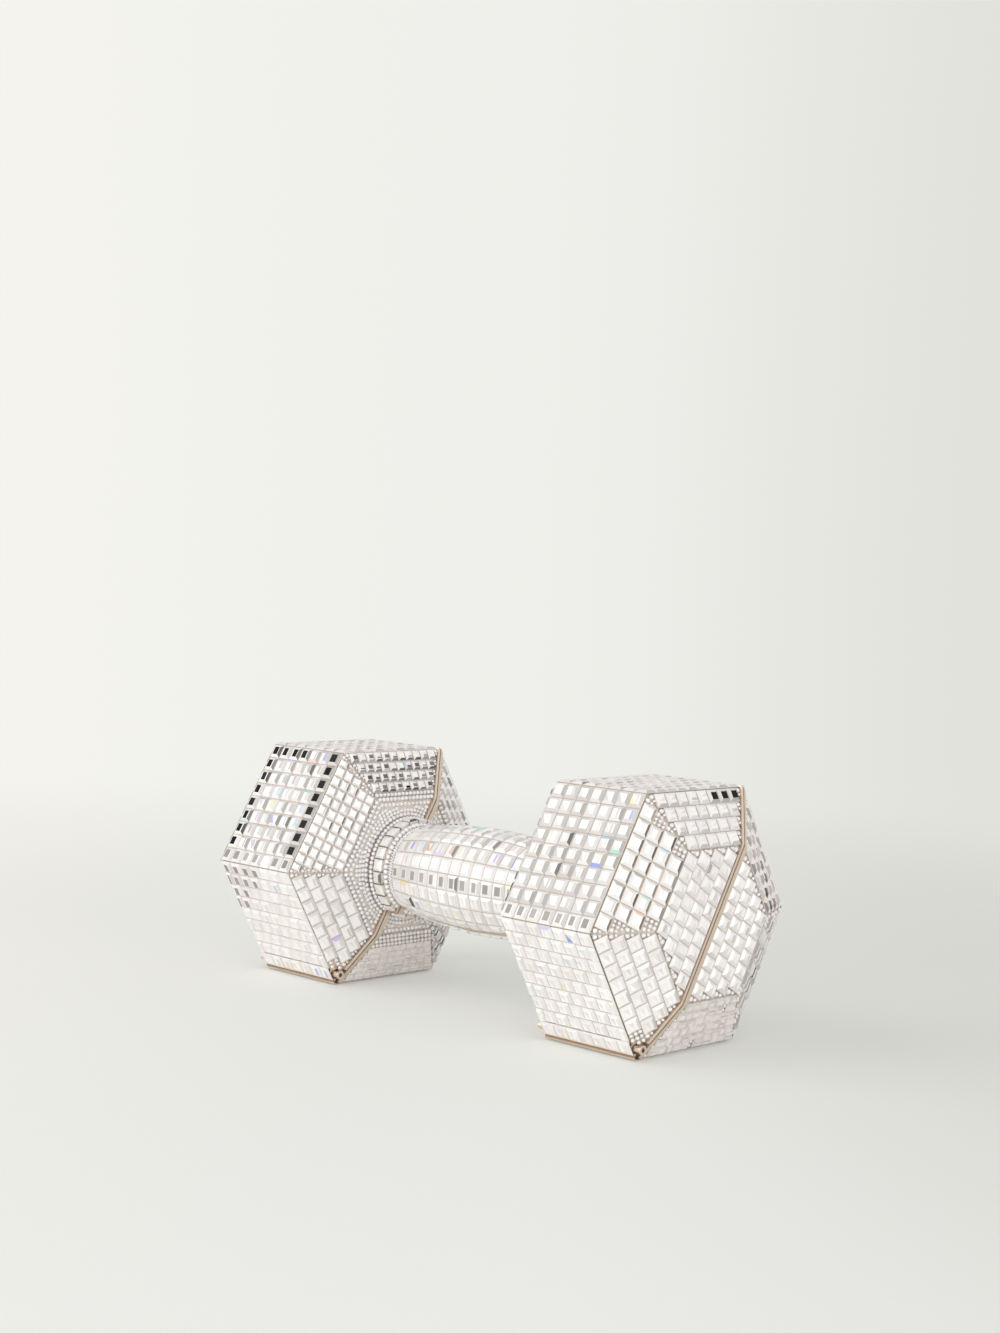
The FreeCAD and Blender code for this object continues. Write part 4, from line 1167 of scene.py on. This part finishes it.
class MINAUDIERE_OT_grip_crystals(bpy.types.Operator):
    """Sets the lengthwise rows of stones on the swelling grip, with beads at its necks and round the button"""
    bl_idname = "minaudiere.grip_crystals"
    bl_label = "Grip crystals"

    def execute(self, context):
        size = sizes()
        low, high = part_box("clasp_button")
        button = STAND.inverted() @ ((low + high) / 2)
        for body in ("lid", "base"):
            setting = Setting(f"{body}_grip_crystals", blush=0.0)
            level = half_level(body) + size.stone_gap / 2
            for row in range(size.grip_rows):
                for k in range(size.grip_stones):
                    marks = [(2 * m / size.grip_stones - 1) * size.barrel_half for m in (k, k + 1)]
                    middle = math.pi * (row + 0.5) / size.grip_rows
                    z = -size.grip_diameter / 2 * math.sin(middle)
                    near_button = math.hypot(sum(marks) / 2, z - button.z) < size.button_room
                    if body == "base" and row < size.grip_rows / 2 and near_button:
                        continue
                    stations = [(x, self.barrel(x)) for x in marks]
                    ring_stone(
                        setting, row, size.grip_rows, stations, size.grip_stone_height, level, self.tone(row))
            self.neck_beads(setting, level)
            if body == "base":
                setting.turn_over()
                self.button_beads(setting, button)
            setting.make(body, [f"{body}_grip_stones"])
        return {"FINISHED"}

    def tone(self, row):
        """One row in front mirrors the light, and the row below it a dark room."""
        front = sizes().grip_rows // 2
        if row == front:
            return dict(PLAIN, strip=0.2, dusk=0.3, shade=0.2, smoke=0.0, glint=0.08, gilt=0.2)
        if row == front + 1:
            return dict(PLAIN, strip=1.0, dusk=1.1, centred=True, shade=0.3, smoke=0.05, gilt=0.2)
        if row < front:
            return dict(PLAIN, strip=0.5, dusk=0.5, shade=0.45, pale_shade=0.15, smoke=0.04, glint=0.5, gilt=0.2)
        return dict(PLAIN, strip=0.4, dusk=0.3, shade=0.25, smoke=0.02, glint=0.2, gilt=0.15)

    def barrel(self, x):
        """Apothem of the grip over the stones at a place along it."""
        size = sizes()
        swell = (size.grip_diameter - size.neck_diameter) / 2
        return size.grip_diameter / 2 - swell * (x / neck_place()) ** 2

    def neck_beads(self, setting, level):
        """Rings of small round stones between the last square stones and the collars."""
        size = sizes()
        radius = (neck_place() - size.barrel_half) / (2 * size.neck_rings)
        for side in (-1, 1):
            for ring in range(size.neck_rings):
                x = size.barrel_half + (2 * ring + 1) * radius
                out = self.barrel(x) - radius * NECK_SUNK
                ring_beads(setting, side * x, out, 2 * radius, level + radius)

    def button_beads(self, setting, button):
        """A ring of small round stones about the clasp button, up to the rim."""
        size = sizes()
        radius = size.pave_pitch / 2
        middle = size.grip_diameter / 2 - size.grip_stone_height
        count = round(math.pi * size.button_ring / radius)
        for k in range(count):
            angle = 2 * math.pi * k / count
            x, z = size.button_ring * math.cos(angle), button.z + size.button_ring * math.sin(angle)
            if z < -size.base_level - radius:
                y = math.sqrt((middle + radius * BUTTON_BEAD_RISE) ** 2 - z ** 2)
                setting.bead(Vector((x, y, z)), radius * BUTTON_BEAD_FILL)


class MINAUDIERE_OT_collar_crystals(bpy.types.Operator):
    """Sets the ring of square stones on each collar, with a ring of beads on both sides of it"""
    bl_idname = "minaudiere.collar_crystals"
    bl_label = "Collar crystals"

    def execute(self, context):
        lay_halves("collar_crystals", "collar_stones", self.cover, blush=0.0)
        return {"FINISHED"}

    def cover(self, setting, level):
        size = sizes()
        start, end = collar_span()
        radius = size.collar_diameter / 2
        level += size.stone_gap / 2
        bead = size.border_bead
        out = radius - size.stone_height - bead * COLLAR_BEAD_SHARE
        ring_beads(setting, start - bead * COLLAR_BEAD_SHARE, out, bead, level + bead / 2)
        bead = size.pave_pitch
        ring_beads(setting, end + bead / 2, radius - bead * COLLAR_BEAD_SHARE, bead, level + bead / 2)
        stations = [(start, radius), (end, radius)]
        tone = dict(PLAIN, strip=0.1, shade=0.2, smoke=0.15)
        for row in range(size.collar_stones):
            ring_stone(
                setting, row, size.collar_stones, stations, size.stone_height, level, tone, size.collar_gap)


# The metal, the linings and the stage

FINISHES = {
    "_shell": "lacquered_shell", "_rim": "champagne_plating", "_leaf": "champagne_plating",
    "_pin": "pin_hole_shade", "_button": "champagne_plating", "_bar": "polished_steel",
    "_strike": "polished_steel", "_bracket": "polished_steel", "_spring": "polished_steel",
}


class MINAUDIERE_OT_metalwork(bpy.types.Operator):
    """Finishes the shells, rims, hinges and clasp, and lays the wires along the ridges"""
    bl_idname = "minaudiere.metalwork"
    bl_label = "Metalwork"

    def execute(self, context):
        for name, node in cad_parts.items():
            for ending, finish in FINISHES.items():
                if name.endswith(ending):
                    if not node.material_slots:
                        node.data.materials.append(None)
                    for slot in node.material_slots:
                        slot.material = finish_named(finish)
        for side in ("right", "left"):
            rings = Setting(f"{side}_hinge_ring", side == "left")
            heads = Setting(f"{side}_hinge_pin_head", side == "left")
            hinge_ends(rings, heads, side == "right")
            rings.make("base", finish="champagne_plating")
            heads.make("base", finish="pin_hole_shade")
        for body, side, mirrored in halves_and_heads():
            ridges = Setting(f"{body}_{side}_ridge_wires", mirrored)
            ridge_wires(ridges, body)
            collar_wires(ridges, body)
            rows = Setting(f"{body}_{side}_row_wires", mirrored)
            row_wires(rows, body)
            if body == "lid":
                hinge_cover(rows, ridges)
            ridges.make(body, finish="dark_gilt")
            rows.make(body, finish="champagne_plating")
        return {"FINISHED"}


class MINAUDIERE_OT_linings(bpy.types.Operator):
    """Softens the leather linings of both halves"""
    bl_idname = "minaudiere.linings"
    bl_label = "Linings"

    def execute(self, context):
        for name in [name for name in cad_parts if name.endswith("_lining")]:
            leather = bpy.data.objects.new(name + "_leather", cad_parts[name].data.copy())
            context.scene.collection.objects.link(leather)
            leather.data.materials.clear()
            for kind, settings in SOFTENING.items():
                step = leather.modifiers.new(kind.lower(), kind)
                for key, value in settings.items():
                    setattr(step, key, value)
            graph = context.evaluated_depsgraph_get()
            softened = bpy.data.meshes.new_from_object(leather.evaluated_get(graph))
            leather.modifiers.clear()
            leather.data = softened
            leather.data.materials.clear()
            leather.data.materials.append(finish_named("kid_leather"))
            body = name.split("_")[0]
            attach(leather, body)
            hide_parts(name)
        return {"FINISHED"}


class MINAUDIERE_OT_stage(bpy.types.Operator):
    """Sets the paper floor, the soft lamps and the camera"""
    bl_idname = "minaudiere.stage"
    bl_label = "Stage"

    def execute(self, context):
        scene = context.scene
        scene.view_settings.view_transform = "Standard"
        self.floor(scene)
        self.world(scene)
        for name, place, span, power in LAMPS:
            lamp = bpy.data.lights.new(name, "AREA")
            lamp.size = span
            lamp.energy = power
            holder = bpy.data.objects.new(name, lamp)
            holder.location = place
            holder.rotation_euler = (LAMP_AIM - Vector(place)).to_track_quat("-Z", "Y").to_euler()
            scene.collection.objects.link(holder)
        self.camera(scene)
        return {"FINISHED"}

    def floor(self, scene):
        turns = [2 * math.pi * k / FLOOR_SIDES for k in range(FLOOR_SIDES)]
        rim = [(FLOOR_RADIUS * math.cos(turn), FLOOR_RADIUS * math.sin(turn), 0) for turn in turns]
        mesh = bpy.data.meshes.new("paper_floor")
        mesh.from_pydata(rim, [], [list(range(FLOOR_SIDES))])
        mesh.materials.append(finish_named("studio_paper"))
        floor = bpy.data.objects.new("paper_floor", mesh)
        scene.collection.objects.link(floor)

    def world(self, scene):
        world = bpy.data.worlds.new("studio")
        scene.world = world
        world.use_nodes = True
        tree = world.node_tree
        tree.nodes.clear()
        place = add_node(tree, "TexCoord")
        aside = add_node(tree, "VectorMath", [(0, place, "Generated")], operation="DOT_PRODUCT")
        aside.inputs[1].default_value = ASIDE
        split = add_node(tree, "SeparateXYZ", [("Vector", place, "Generated")])
        level = add_node(tree, "MapRange", [("Value", split, "Z")], To_Min=HORIZON_LIGHT, To_Max=OVERHEAD_LIGHT)
        air = add_node(tree, "Background", [("Strength", level, "Result")], Color=(1.0, 1.0, 1.0, 1.0))
        # The backdrop seen directly is painted in the paper's tones, lighter towards the key lamp and darker away
        # from it
        tone = paper_tone(tree, aside, "Value")
        paper = add_node(tree, "Background", [("Color", tone, "Color")], Strength=1.0)
        mix = add_node(
            tree, "MixShader", [(0, seen_directly(tree), 0), (1, air, "Background"), (2, paper, "Background")])
        add_node(tree, "OutputWorld", [("Surface", mix, "Shader")])

    def camera(self, scene):
        lens = bpy.data.cameras.new("camera")
        lens.sensor_fit = "VERTICAL"
        lens.sensor_height = SENSOR_MM
        lens.lens = LENS_MM
        lens.clip_start = CLIP_START
        camera = bpy.data.objects.new("camera", lens)
        right, back = (Vector(axis).normalized() for axis in (CAMERA_RIGHT, CAMERA_BACK))
        rise = back.cross(right).normalized()
        turn = Matrix((right, rise, back)).transposed().to_4x4()
        camera.matrix_world = Matrix.Translation(CAMERA_PLACE) @ turn
        scene.collection.objects.link(camera)
        scene.camera = camera


class MINAUDIERE_PT_sidebar(bpy.types.Panel):
    bl_label = "Minaudiere"
    bl_idname = "MINAUDIERE_PT_sidebar"
    bl_space_type = "VIEW_3D"
    bl_region_type = "UI"
    bl_category = "Minaudiere"

    def draw(self, context):
        for operator in OPERATORS:
            self.layout.operator(operator.bl_idname)
        for group in (context.scene.minaudiere_sizes, context.scene.minaudiere_colours):
            for key in group.__annotations__:
                self.layout.prop(group, key)


OPERATORS = (
    MINAUDIERE_OT_stage,
    MINAUDIERE_OT_metalwork,
    MINAUDIERE_OT_side_crystals,
    MINAUDIERE_OT_bevel_crystals,
    MINAUDIERE_OT_end_crystals,
    MINAUDIERE_OT_pave_beads,
    MINAUDIERE_OT_collar_crystals,
    MINAUDIERE_OT_grip_crystals,
    MINAUDIERE_OT_linings,
)
CLASSES = (MinaudiereSizes, MinaudiereColours) + OPERATORS + (MINAUDIERE_PT_sidebar,)


def register():
    for cls in CLASSES:
        bpy.utils.register_class(cls)
    bpy.types.Scene.minaudiere_sizes = PointerProperty(type=MinaudiereSizes)
    bpy.types.Scene.minaudiere_colours = PointerProperty(type=MinaudiereColours)


def unregister():
    del bpy.types.Scene.minaudiere_colours
    del bpy.types.Scene.minaudiere_sizes
    for cls in reversed(CLASSES):
        bpy.utils.unregister_class(cls)


def main():
    register()
    for operator in OPERATORS:
        group, name = operator.bl_idname.split(".")
        getattr(getattr(bpy.ops, group), name)()


if __name__ == "__main__":
    main()
